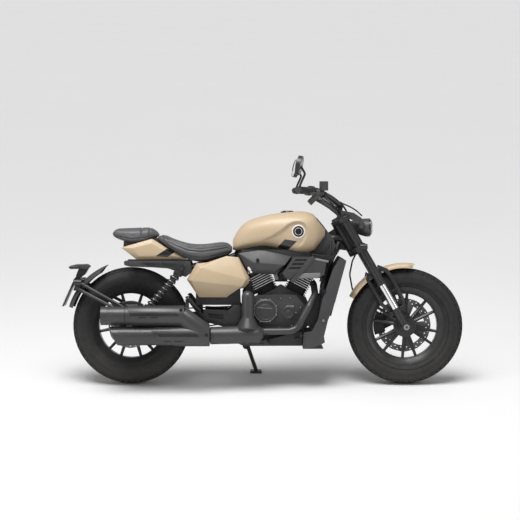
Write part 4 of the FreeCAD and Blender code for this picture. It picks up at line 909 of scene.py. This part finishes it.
def side_cases():
    """The six-cornered covers, folded along two ridges."""
    inner = [(x, 119, z) for x, z in CASE_EDGE]
    outer = [(x + (3 if x < -300 else -3), 138, z) for x, z in CASE_EDGE]
    crown = [(x, CASE_OUT - 1, z) for x, z in CASE_RIDGE]
    facets = ((1, 2, 3, 4, 5, 12, 11), (0, 1, 11, 14), (11, 12, 13, 14), (5, 6, 7, 13, 12),
              (7, 8, 9, 10, 14, 13), (10, 0, 14))
    case = faceted("side_case_covers", inner, outer, crown, facets, SAND)
    settled(both_sides(case), "sand_paint", "side_cases", angle=35)


def tail_cowl():
    """The pointed cover under the pillion, with a dark flash on each side."""
    outline = [(-808, 755), (-638, 804), (-541, 744), (-446, 692), (-720, 688)]
    middle = [(-745, 752), (-640, 778), (-560, 735), (-520, 712), (-705, 708)]
    rows = [[(x, y, z) for x, z in ring] for ring, y in ((outline, 60), (outline, 92), (middle, 105))]
    side = both_sides(bevelled(skinned("cowl_side", rows, SAND), 4, 3, 10))
    pan = slab("cowl_pan", [(-794, 792), (-745, 784), (-625, 810), (-592, 792), (-548, 762), (-500, 728),
                            (-450, 700), (-715, 700), (-797, 758)], -72, 72, BARREL_BLACK, 4)
    cowl = joined("tail_cowl_skin", [side, pan])
    settled(cowl, "sand_paint", "tail_cowl", angle=35)
    surface = surface_of(cowl)
    flash = quad_patch([(-617, 709), (-556, 748), (-508, 733), (-552, 705)], 20)
    laid = [laid_on(surface, side, flash, GLOSS_BLACK, 1.2) for side in SIDES]
    settled(joined("cowl_flashes", laid), "sand_paint")


def arch(name, axle, material, radius, half, start, end, thick, tip, skirt=26, nose=100.0):
    """A fender over a wheel, from start to end degrees behind its top, with rounded ends.

    Its skirt grows by nose millimetres a degree behind its front end."""
    count, steps = 28, 64
    shape = bmesh.new()
    grid = []
    for i in range(steps + 1):
        share = i / steps
        turn = math.radians(start + (end - start) * share)
        width = half * (1 - tip * (1 - ease(0, 1, min(share, 1 - share) * steps / 5)))
        deep = min(skirt, 2 + nose * (end - start) * share)
        row = []
        for k in range(count + 1):
            t = math.pi * k / count
            y = -width * math.copysign(abs(math.cos(t)) ** 0.8, math.cos(t))
            r = radius - deep + deep * abs(math.sin(t)) ** 0.6
            row.append(shape.verts.new(axle + Vector((-r * math.sin(turn), y, r * math.cos(turn)))))
        grid.append(row)
    for near, far in zip(grid, grid[1:]):
        for k in range(count):
            shape.faces.new((near[k], near[k + 1], far[k + 1], far[k]))
    outward(shape)
    if shape.faces[len(shape.faces) // 2].normal.dot(UP) < 0:
        bmesh.ops.reverse_faces(shape, faces=shape.faces[:])
    return walled(from_bmesh(name, shape, material), thick)


def fenders():
    front = arch("front_fender_skin", FRONT_AXLE, SAND, radius=349, half=75.5, start=-8, end=62, thick=3,
                 tip=0.35)
    settled(front, "sand_paint", "front_fender", body="fork", angle=50)
    rear = arch("rear_fender_skin", REAR_AXLE, PLASTIC, radius=360, half=85, start=22, end=73, thick=4,
                tip=0.25, nose=3.0)
    settled(rear, "dark_plastic", "rear_fender", angle=50)


# Wheels
GROOVE = 5.0


def tyre_outline(radius, width, bead, drop):
    """One side of a tyre's section from bead to crown middle, drop below the tread's top."""
    points = [(BEAD_R, bead), (LIP_R + 3, bead + 8), (LIP_R + 14, bead + 15), (LIP_R + 30, width / 2 - 3),
              (LIP_R + 46, width / 2 - 0.5), (LIP_R + 58, width / 2 - 2.5)]
    for k in range(9):
        phi = SHOULDER * (1 - k / 8)
        points.append((radius - drop - CROWN_R * (1 - math.cos(phi)), CROWN_R * math.sin(phi) - 0.02))
    return points


def tread_block(radius, phi0, phi1, turn0, turn1, slant):
    """One block of tread, its top on the crown."""
    shape = bmesh.new()
    grids = []
    for lift, shrink in ((-GROOVE - 1.5, 0.0), (-1.2, 0.0), (0.0, 0.12)):
        grid = []
        for i in range(4):
            u = shrink / 2 + (1 - shrink) * i / 3
            for j in range(3):
                v = shrink / 2 + (1 - shrink) * j / 2
                phi = phi0 + (phi1 - phi0) * u
                turn = turn0 + (turn1 - turn0) * v + slant * u
                r = radius - CROWN_R * (1 - math.cos(max(abs(phi), FLAT_CROWN))) + lift * math.cos(phi)
                y = CROWN_R * math.sin(phi) + lift * math.sin(phi)
                grid.append(shape.verts.new((r * math.sin(turn), y, r * math.cos(turn))))
        grids.append(grid)
    # The block's points lie four by three, and this is the way round them
    border = [0, 1, 2, 5, 8, 11, 10, 9, 6, 3]
    for low, high in zip(grids, grids[1:]):
        for a, b in zip(border, border[1:] + border[:1]):
            shape.faces.new((low[a], low[b], high[b], high[a]))
    top = grids[-1]
    for i in range(3):
        for j in range(2):
            k = i * 3 + j
            shape.faces.new((top[k], top[k + 1], top[k + 4], top[k + 3]))
    shape.faces.new([grids[0][k] for k in border])
    return shape


# Each row of blocks: its angles on the crown, its share of the pitch and its slant
TREAD_ROWS = ((1.0, 9.5, 0.05, 0.8, 0.5), (12.5, 24.0, 0.25, 0.97, 0.45), (26.5, 37.0, 0.1, 0.78, 0.35))


def tyre(name, axle, body, radius, width, rim_w, pitches):
    """A tyre with its carcass, ribbed shoulders and block tread."""
    half = rim_w / 2 - 8
    left = tyre_outline(radius, width, half, GROOVE)
    right = [(r, -y) for r, y in reversed(left)]
    carcass = lathe(name + "_carcass", left + right, axle, LEFT, RUBBER, 180)
    pitch = 2 * math.pi / pitches
    blocks = []
    for side in SIDES:
        offset = 0 if side > 0 else 0.5 * pitch
        for low, high, near, far, slant in TREAD_ROWS:
            ends = sorted((side * math.radians(low), side * math.radians(high)))
            block = tread_block(radius, *ends, offset + near * pitch, offset + far * pitch,
                                side * slant * pitch)
            blocks.append(from_bmesh("block", block, RUBBER))
    tread = repeated(name + "_tread", joined(name + "_pitch", blocks), pitches, RUBBER, turn=pitch)
    parts = [carcass, moved(tread, *axle)]
    for r, y in ((LIP_R + 22, half + 18.5), (LIP_R + 52, width / 2 - 1.2)):
        for side in SIDES:
            profile = [(r - 1.2, side * (y - 3)), (r + 1.2, side * (y - 3)), (r + 0.6, side * (y + 0.8)),
                       (r - 0.6, side * (y + 0.8))]
            parts.append(lathe("bead_line", profile, axle, LEFT, RUBBER, 120))
    whole = turned_outward(joined(name, parts))
    settled(whole, "tyre_rubber", body.replace("_wheel", "_tyre"), body=body, angle=35)


def perforated_disc(name, axle, body, node, radius, y0):
    """A drilled brake disc on its carrier, its edge a shallow wave."""
    thick, hub, hole, waves, wave = 5, 50, 3.6, 12, 0.9
    curve = bpy.data.curves.new(name, "CURVE")
    curve.dimensions = "2D"
    curve.fill_mode = "BOTH"
    curve.extrude = thick / 2
    curve.bevel_depth = 0.3
    turns = [2.5 * k for k in range(144)]
    outlines = [[polar(radius - 1.2 + wave * math.cos(math.radians(waves * turn)), turn) for turn in turns]]
    for middle in range(36, 396, 72):
        outlines.append([polar(radius - 35, middle - 26 + 5.2 * step) for step in range(11)]
                        + [polar(hub, middle + 19 - 6.3 * step) for step in range(7)])
    for angle in range(0, 360, 15):
        outlines.append(circle(polar(radius - 11, angle), hole, 10))
        outlines.append(circle(polar(radius - 25, angle + 7.5), hole, 10))
    outlines.append(circle((0, 0), 17.5, 40))
    for outline in outlines:
        spline = curve.splines.new("POLY")
        spline.points.add(len(outline) - 1)
        for point, (x, z) in zip(spline.points, outline):
            point.co = (x, z, 0, 1)
        spline.use_cyclic_u = True
    piece = from_curve(name, curve, DISC_STEEL)
    piece.data.transform(Matrix.Rotation(math.pi / 2, 4, "X"))
    moved(piece, *(axle + LEFT * (y0 + thick / 2)))
    settled(piece, "bright_steel", node, body=body, angle=30)


def wheels():
    tyre("front_tyre_form", FRONT_AXLE, "front_wheel", FRONT_R, width=130, rim_w=104, pitches=60)
    tyre("rear_tyre_form", REAR_AXLE, "rear_wheel", REAR_R, width=150, rim_w=116, pitches=58)
    perforated_disc("front_disc_plate", FRONT_AXLE, "front_wheel", "front_disc", radius=150, y0=63)
    perforated_disc("rear_disc_plate", REAR_AXLE, "rear_wheel", "rear_disc", radius=120, y0=-92)
    screws("front_disc_screws", facing_out(circle(FRONT_AXLE.xz, 34, 5), 68), 5, "front_wheel")
    screws("rear_pulley_screws", facing_out(circle(REAR_AXLE.xz, 50, 6), 109.6), 4, "rear_wheel")
    for name in ("front_rim", "rear_rim"):
        softened(name, 1.5, WHEEL_BLACK, "frame_black")


# Engine and exhaust
def rounded_frame(name, width, depth, radius, wire, material):
    """A rounded rectangle of thin wire, flat in XY: the bright edge of one cooling fin."""
    section = ((-wire * 2, -wire), (0, -wire), (0, wire), (-wire * 2, wire))
    rows = []
    for cx, cy, start in ((1, 1, 0), (-1, 1, 90), (-1, -1, 180), (1, -1, 270)):
        for step in range(5):
            x, y = polar(radius, start + 22.5 * step)
            point = Vector((cx * (width / 2 - radius) + x, cy * (depth / 2 - radius) + y, 0))
            rows.append([point + point.normalized() * out + UP * up for out, up in section])
    return skinned(name, rows, material, around=True)


def fin_plate(name, width, depth, thick, material):
    shape = bmesh.new()
    bmesh.ops.create_cube(shape, size=1)
    bmesh.ops.scale(shape, vec=(width, depth, thick), verts=shape.verts[:])
    upright_edges = [e for e in shape.edges if abs(e.verts[0].co.z - e.verts[1].co.z) > thick / 2]
    bmesh.ops.bevel(shape, geom=upright_edges, offset=16, segments=4, affect="EDGES", profile=0.5)
    return from_bmesh(name, shape, material)


def cylinders():
    """Both barrels: stacked cooling fins with bright machined edges, and their heads."""
    fins, low, pitch, bright = 9, 172.9, 12.4, 6
    solids, edges, nuts = [], [], []
    for side in SIDES:
        plate = fin_plate("fin", 122, 136, 2.8, BARREL_BLACK)
        rim = rounded_frame("rim", 125.4, 139.4, 16, 1.9, FIN_EDGE)
        rims = repeated("fin_rims", rim, bright, FIN_EDGE, step=(0, 0, pitch))
        moved(rims, 0, 0, low + (fins - bright) * pitch)
        barrel = [
            moved(fin_plate("core", 104, 108, 96, BARREL_BLACK), 0, 0, 210),
            moved(repeated("fins", plate, fins, BARREL_BLACK, step=(0, 0, pitch)), 0, 0, low),
            moved(fin_plate("head", 112, 126, 24, CASTING), 0, 0, 266),
            moved(bevelled(fin_plate("lid", 98, 114, 22, CASTING), 3, 2), 0, 0, 288),
        ]
        leaned = Matrix.Translation(CRANK) @ Matrix.Rotation(side * VEE_HALF_ANGLE, 4, "Y")
        for piece in barrel + [rims]:
            piece.data.transform(leaned)
        solids += barrel
        edges.append(rims)
        along = leaned.to_3x3() @ UP
        nuts += [(leaned @ Vector((x, y, 298)), along) for x in (-38, 38) for y in (-46, 46)]
    settled(joined("cylinder_barrels", solids), "grey_casting", "cylinders", angle=30)
    settled(joined("cylinder_fin_edges", edges), "grey_casting", angle=30)
    screws("head_nuts", nuts, 6)
    loose = [
        lathe("plug", [(0, 0), (7, 0), (7, 16), (11, 17), (11, 36), (9, 38), (0, 38)],
              Vector((-92, -132, 618)), Vector((-0.38, 0, 1)), FIN_EDGE, 24),
        slab("block", [(26, 613), (50, 613), (57, 580), (36, 576)], -112, -76, PALE_PLASTIC_AND_PAINTED_HIGHLIGHT, 3),
        lathe("starter", [(0, 0), (30, 0), (34, 4), (34, 96), (28, 100), (28, 112), (0, 112)],
              Vector((-84, -56, 528)), LEFT, CASTING, 48),
    ]
    settled(joined("plug_and_block", loose), "grey_casting", angle=30)


def engine_dress():
    """Round covers with their rims, and the screws of both side covers."""
    covers = []
    for x, y, z, r in ((-16, -170, 414, 58), (110, -158, 402, 34), (71, 150, 362, 64)):
        profile = [(0, -6), (r, -6), (r, 1.5), (r - 3, 3.5), (r - 8, 3.5), (r - 10, 1.2), (r - 22, 1.2),
                   (r - 24, 2.4), (0.3 * r, 3.2), (0, 3.2)]
        covers.append(lathe("cover", profile, Vector((x, y, z)), LEFT * math.copysign(1, y), CASTING, 72))
    settled(joined("engine_round_covers", covers), "grey_casting", angle=30)
    edges = [
        lathe("cover_edge", [(59.5, -4), (62.5, -4), (62.5, 1.5), (61, 2.6), (59.5, 1.5)],
              Vector((-16, -170, 414)), -LEFT, PALE_PLASTIC_AND_PAINTED_HIGHLIGHT, 72),
        slab("cover_bar", [(-60, 431), (23, 427), (23, 424), (-60, 428)], -175, -172, PALE_PLASTIC_AND_PAINTED_HIGHLIGHT, 0.6),
        slab("side_bar", [(98, 440), (140, 440), (140, 430), (98, 430)], -152, -146, PALE_PLASTIC_AND_PAINTED_HIGHLIGHT, 2),
    ]
    settled(joined("cover_edges", edges), "grey_casting", angle=30)
    right = circle((-16, 414), 66, 8, 22) + [(68, 478), (120, 482), (176, 430), (172, 362), (128, 330),
                                             (62, 322), (76, 404), (150, 402)]
    left = circle((71, 362), 73, 8, 10, squash=0.8)
    screws("engine_screws", facing_out(right, -148) + facing_out(left, 128), 4)


def exhaust():
    melted("exhaust_headers", 3.2, 14, EXHAUST, "exhaust_black")
    softened("mufflers", 2.0, EXHAUST, "exhaust_black", segments=3)
    softened("muffler_shield", 1.0, EXHAUST, "exhaust_black")
    shield, cans = [surface_of(frame["nodes"][name]) for name in ("muffler_shield", "mufflers")]
    # Dark sheets laid on the shield: painted shade standing for its slots, which the mesh doesn't cut, and for
    # the dark bands along its two grooves; the last sheet is a dark seam line round the can
    half, slant = 3.5, 4
    slots = ((-701, -660, 384), (-637, -596, 384), (-566, -526, 254), (-508, -462, 254))
    marks = [(shield, [(x0, z - half), (x1, z - half), (x1 + slant, z + half), (x0 + slant, z + half)], 6,
              BARREL_BLACK, 1.1) for x0, x1, z in slots]
    # Painted shade: dark bands along the shield's two grooves
    marks += [
        (shield, [(-752, 416), (-500, 414), (-476, 392), (-742, 392)], 14, PAINTED_GROOVE_SHADE, 0.7),
        (shield, [(-617, 300), (-392, 299), (-372, 280), (-606, 280)], 14, PAINTED_GROOVE_SHADE, 0.7),
        (cans, [(-777, 438), (-772, 438), (-772, 343), (-777, 343)], 20, BARREL_BLACK, 0.9),
    ]
    laid = [laid_on(surface, -1, quad_patch(corners, steps), material, lift)
            for surface, corners, steps, material, lift in marks]
    settled(joined("shield_slots", laid), "exhaust_black")
    spots = []
    for x, z in ((-470, 424), (-333, 291)):
        hit = shield.ray_cast(Vector((x, -400, z)), LEFT)[0]
        spots.append((hit if hit is not None else Vector((x, -286, z)), (0, -1, 0)))
    screws("exhaust_screws", spots, 9, material=BARREL_BLACK)
    profile = [(24, 0), (44, 0), (50, 4), (50.6, 10), (50.6, 34), (50.1, 34), (49.4, 10), (43, 2.2), (24, 2.2)]
    caps = []
    for end, z, slant in ((-906, 390, 0.0), (-836.8, 280, -0.45)):
        cap = lathe("outlet", profile, Vector((0, -238, 0)), Vector((1, 0, 0)), EXHAUST, 72)
        place = Matrix.Translation((end, 0, z))
        place[0][2] = slant
        cap.data.transform(place)
        caps.append(cap)
    settled(joined("muffler_caps", caps), "exhaust_black")


def shocks():
    """Coil springs on both dampers."""
    way = (SHOCK_FOOT - SHOCK_TOP).normalized()
    upper_seat, lower_seat, wire = 36, 68, 4.6
    start, end = SHOCK_TOP + way * upper_seat, SHOCK_FOOT - way * lower_seat
    coil = grown("shock_coils", bpy.data.meshes.new("coils"), COIL, Turns=8.5, Radius=20.3,
                 Height=(end - start).length - 2 * wire, Wire=wire, Finish=SPRING_STEEL)
    turn = UP.rotation_difference(way).to_matrix().to_4x4()
    coil.data.transform(Matrix.Translation(start + way * wire) @ turn)
    settled(turned_outward(both_sides(coil)), "spring_steel", "shock_springs")


# Front end
LAMP = [(458, 40, 900, 846), (480, 58, 907, 834), (505, 72, 912, 824), (540, 84, 914, 814), (562, 85, 915, 814)]


def headlight():
    """A lamp shell with its bezel, a reflector and a clear lens."""
    bezel = [(554, 85.3, 915.3, 813.7), (563, 85, 915, 814), (564, 82, 912, 817), (558, 80, 910, 819)]
    bowl = [(562.6, 80, 910, 819), (562.8, 60, 898, 832)]
    glass = [(563, 82, 912, 817), (567, 80, 910, 819), (571, 74, 905, 824), (574, 62, 897, 833),
             (575.5, 40, 884, 848)]
    shell = [oval_skin("shell", between(LAMP, 5), PLASTIC), oval_skin("bezel", bezel, GLOSS_BLACK),
             oval_skin("bowl", bowl, CHROME)]
    settled(joined("headlight_shell", shell), "dark_plastic", body="fork", angle=45)
    settled(oval_skin("headlight_glass", glass, LENS), "lens", "headlight_lens", body="fork", angle=60)


def gauge_face():
    """The dial's glass, its ring and the marks round it."""
    facing = Vector((-1, 0, 1)).normalized()
    at = Vector((247, 0, 1038))
    ring = [(36, 0.2), (43.6, -6), (43.6, 0), (41, 2.4), (38, 2.0)]
    glass = [(0, 0.2), (38, 0.2), (38, 0.7), (0, 0.9)]
    pieces = [lathe("ring", ring, at, facing, GLOSS_BLACK, 72),
              lathe("glass", glass, at, facing, DIAL_FACE, 72)]
    side = facing.orthogonal().normalized()
    up = facing.cross(side)
    for k in range(25):
        y, x = polar(1, -120 + 10 * k)
        way = side * x + up * y
        inner, thick = (29, 0.6) if k % 4 == 0 else (32, 0.35)
        ends = [at + way * r + facing * 0.9 for r in (inner, 35)]
        pieces.append(bar("mark", ends, thick, MARK_WHITE, curved=False))
    settled(joined("gauge_dial", pieces), "dark_plastic", body="fork", angle=30)


BAR_END = Vector((164, 400, 1070))
BAR_KNEE = Vector((242, 260, 1066))


def grips_and_mirrors():
    """Ribbed grips, and the mirrors' glass and hoods."""
    ribs, pitch = 18, 5.6
    profile = [(12.8, 4), (19, 4), (19.5, 8), (17, 10)]
    for k in range(ribs):
        at = 12 + k * pitch
        profile += [(16.2, at), (17.4, at + 1.2), (17.4, at + 3.4), (16.2, at + 4.6)]
    profile += [(17, 114), (19, 116), (19, 118), (12.8, 118)]
    grip = lathe("grip_rubber", profile, BAR_END, BAR_KNEE - BAR_END, SOFT_RUBBER, 48)
    settled(both_sides(grip), "black_rubber", "grips", body="fork", angle=30)
    centre = Vector((BAR_END.x - 10, BAR_END.y + 18, 1200))
    facing = Vector((-0.96, -0.18, 0.2))
    glass = [(0, 0.2), (48, 0.2), (49, 0.6), (46, 1.4), (0, 1.6)]
    hood = [(0, -20.2), (30, -20.5), (46, -17), (51.0, -8), (51.3, 1.5), (49.6, 2.6), (48.6, 0), (0, 0)]
    heads = joined("mirror_heads", [lathe("glass", glass, centre, facing, MIRROR_GLASS, 72),
                                    lathe("hood", hood, centre, facing, GLOSS_BLACK, 72)])
    settled(both_sides(heads), "frame_black", body="fork", angle=40)


CABLES = (
    (4.0, [(252, -248, 1050), (300, -186, 1020), (346, -120, 984), (384, -62, 958), (398, -24, 930)]),
    (3.6, [(262, -240, 1074), (326, -168, 1052), (384, -84, 1012), (424, -36, 976), (440, -16, 940)]),
    (3.2, [(284, -214, 1040), (338, -140, 1004), (378, -84, 966), (392, -50, 936)]),
    (3.4, [(402, -44, 1000), (446, -30, 984), (492, -14, 956), (520, -6, 928)]),
)
HOSES = (
    (5.0, [(346, -58, 806), (343, -90, 750), (335, -107, 690), (322, -108, 620), (302, -98, 566)]),
    (3.6, [(330, -52, 790), (330, -98, 735), (322, -116, 680), (306, -116, 612), (290, -104, 560)]),
)


def cables():
    """Cables and switch boxes held by the handlebar, and hoses held by the frame beside the radiator."""
    turning, still = [[bar("hose", path, radius, SOFT_RUBBER) for radius, path in paths]
                      for paths in (CABLES, HOSES)]
    knee = Vector((BAR_KNEE.x, -BAR_KNEE.y, BAR_KNEE.z))
    way = (Vector((316, -180, 1042)) - knee).normalized()
    box = [(12.8, 0), (20, 0), (22, 3), (22, 39), (20, 42), (12.8, 42)]
    band = [(12.8, 0), (17, 0), (17, 14), (12.8, 14)]
    turning += [lathe("switch_box", box, knee + way * 18, way, PLASTIC, 32),
                lathe("bar_band", band, knee + way * 84, way, SOFT_RUBBER, 32)]
    settled(both_sides(joined("bar_cables", turning)), "black_rubber", body="fork", angle=35)
    settled(both_sides(joined("radiator_hoses", still)), "black_rubber", angle=35)


def cover_trim():
    """The air covers with a light upper facet, and the lips, seals and inner flanges round both covers. The
    pale colour of the lips on the front covers' upper and lower edges is painted highlight.
    """
    outline = [(-163, 128, 726), (-52, 128, 742), (-18, 128, 740), (128, 136, 708), (57, 144, 620),
               (26, 142, 610), (-36, 140, 612), (-79, 138, 616), (-124, 134, 652)]
    crown = [(-78, 167, 674), (92, 167, 662), (40, 160, 632), (-58, 160, 634)]
    facets = ((0, 1, 2, 3, 10, 9), (9, 10, 11, 12), (3, 4, 11, 10), (4, 5, 6, 7, 12, 11), (7, 8, 0, 9, 12))
    inner = [(x, 101, z) for x, y, z in outline]
    cover = faceted("air_cover_skin", inner, outline, crown, facets, PLASTIC)
    settled(both_sides(cover), "dark_plastic", "air_covers", angle=35)
    pieces = [slab("trim", *form) for form in (
        # The two pale lips on the front covers' upper and lower edges: their pale colour is painted highlight
        ([(238, 705), (331, 686), (326, 675), (240, 692)], 150, 170, PALE_PLASTIC_AND_PAINTED_HIGHLIGHT, 3),
        ([(158, 600), (176, 617), (284, 620), (284, 598), (262, 591), (154, 588)], 150, 170, PALE_PLASTIC_AND_PAINTED_HIGHLIGHT, 4),
        ([(236, 724), (354, 710), (350, 694), (331, 682), (239, 698)], 46, 150, BARREL_BLACK, 2),
        ([(-172, 708), (-158, 724), (-116, 660), (-76, 618), (-92, 598), (-124, 640)], 96, 118,
         BARREL_BLACK, 2),
    )]
    settled(both_sides(joined("cover_trim", pieces)), "dark_plastic", angle=35)


def castings():
    """Cast and moulded nodes with their edges rounded, and the tail lamp's lens and cover."""
    softened("front_covers", 2.2, PLASTIC, "dark_plastic")
    cover_trim()
    for node, width, material, slot in (
        ("radiator_shroud", 1.6, PLASTIC, "dark_plastic"),
        ("engine_case", 2.5, CASTING, "grey_casting"),
        ("seat_rails", 2.5, CASTING, "grey_casting"),
        ("swingarm", 2.5, FRAME_BLACK, "frame_black"),
        ("pivot_plates", 1.5, FRAME_BLACK, "frame_black"),
        ("fender_bracket", 0.8, FRAME_BLACK, "frame_black"),
        ("number_plate", 0.8, PLATE_WHITE, "plate_white"),
        ("tail_lamp", 2.0, GLOSS_BLACK, "lamp_red"),
    ):
        softened(node, width, material, slot)
    lens = [(-1100, 648.5), (-1093, 637.5), (-1088, 637.5), (-1093, 648.5)]
    settled(slab("lamp_lens", lens, -66, 66, LAMP_RED, 1.0), "lamp_red")
    cover = [(-1096, 642), (-1094, 653), (-1060, 660), (-1000, 661), (-984, 649), (-1000, 632), (-1040, 636),
             (-1062, 645)]
    settled(slab("lamp_cover", cover, -46, 46, PLASTIC, 3), "dark_plastic")
    for node, voxel, passes in (("fork_feet", 2.2, 5), ("front_caliper", 2.0, 3), ("rear_caliper", 2.0, 3),
                                ("triple_clamps", 2.6, 4)):
        melted(node, voxel, passes, FRAME_BLACK, "frame_black")


def body_screws():
    """Dark screws of the rails and covers, the bright ones low on the shroud, and painted shade in the rails'
    hollows, as dark sheets laid on the rails.
    """
    dark, bright, marks = [], [], []
    surface = surface_of(frame["nodes"]["seat_rails"])
    # Painted shade: dark sheets where the rails have hollows
    hollows = (
        (disc_patch((-596, 665), (0.0, 10.0)), BARREL_BLACK, 0.9),
        (disc_patch((-470, 645), (12.0, 17.0)), BARREL_BLACK, 0.9),
        (quad_patch([(-690, 674), (-612, 673), (-612, 656), (-664, 657)], 8), PAINTED_GROOVE_SHADE, 0.8),
        (quad_patch([(-580, 672), (-500, 668), (-512, 652), (-580, 655)], 8), PAINTED_GROOVE_SHADE, 0.8),
    )
    for side in SIDES:
        for x, y, z in ((-472, 132, 645), (-58, 168, 690), (286, 70, 716), (306, 168, 520)):
            dark += facing_out([(x, z)], side * y)
        bright += facing_out([(300, 358)], side * 168)
        marks += [laid_on(surface, side, *hollow) for hollow in hollows]
    screws("dark_screws", dark, 9, material=BARREL_BLACK)
    settled(joined("rail_marks", marks), "grey_casting")
    screws("bright_screws", bright, 9)


# Stage
def lamp(name, kind, energy, place, way, **values):
    """A lamp that shines along a direction."""
    light = bpy.data.lights.new(name, kind)
    light.energy = energy
    for key, value in values.items():
        setattr(light, key, value)
    holder = placed(name, light)
    holder.location = place
    holder.rotation_euler = way.to_track_quat("-Z", "Y").to_euler()


def stage():
    """A pale floor, a soft white sky and large soft lamps."""
    half = 120.0
    mesh = bpy.data.meshes.new("floor")
    corners = [(-half, -half, 0), (half, -half, 0), (half, half, 0), (-half, half, 0)]
    mesh.from_pydata(corners, [], [(0, 1, 2, 3)])
    pale = finish("floor_pale", (0.72, 0.72), (0.73, 0.73), (0.7, 0.75), patches=0.5)
    new_piece("floor", mesh, pale)
    world = bpy.data.worlds.new("sky")
    bpy.context.scene.world = world
    world.use_nodes = True
    with_values(world.node_tree.nodes["Background"], Color=(1, 1, 1, 1), Strength=0.36)
    lamp("sun", "SUN", 2.3, ORIGIN, Vector((0.14, 0.24, -1.0)), angle=math.radians(35))
    for name, place, aim, size, energy in (
        ("lamp_top", (-0.5, -1.2, 3.6), (0, 0, 0.5), 2.4, 60),
        ("lamp_front", (3.2, -3.0, 1.6), (0.5, 0, 0.6), 1.2, 14),
        ("lamp_back", (-2.8, -2.6, 1.4), (-0.4, 0, 0.5), 1.2, 12),
    ):
        lamp(name, "AREA", energy, place, Vector(aim) - Vector(place), size=size)


def camera():
    """The photograph's long lens, level with the leaned machine's own upright."""
    away, seen = 9500, 2880
    data = bpy.data.cameras.new("camera")
    data.sensor_width = 36
    data.lens = data.sensor_width * away / seen
    data.clip_end = 400
    eye, aim = Vector((-45, -away, 1000)), Vector((-45, 0, 684))
    turn = (aim - eye).to_track_quat("-Z", "Y").to_matrix().to_4x4()
    place, rotation = (TO_FRAME @ Matrix.Translation(eye) @ turn).decompose()[:2]
    holder = placed("camera", data)
    holder.matrix_world = Matrix.LocRotScale(place, rotation, Vector((1, 1, 1)))
    bpy.context.scene.camera = holder


bpy.context.scene.view_settings.view_transform = "Standard"
camera()
stage()
finish_nodes()
wheels()
tank_trim(fuel_tank())
seats()
side_cases()
tail_cowl()
fenders()
castings()
cylinders()
engine_dress()
exhaust()
shocks()
headlight()
gauge_face()
grips_and_mirrors()
cables()
body_screws()
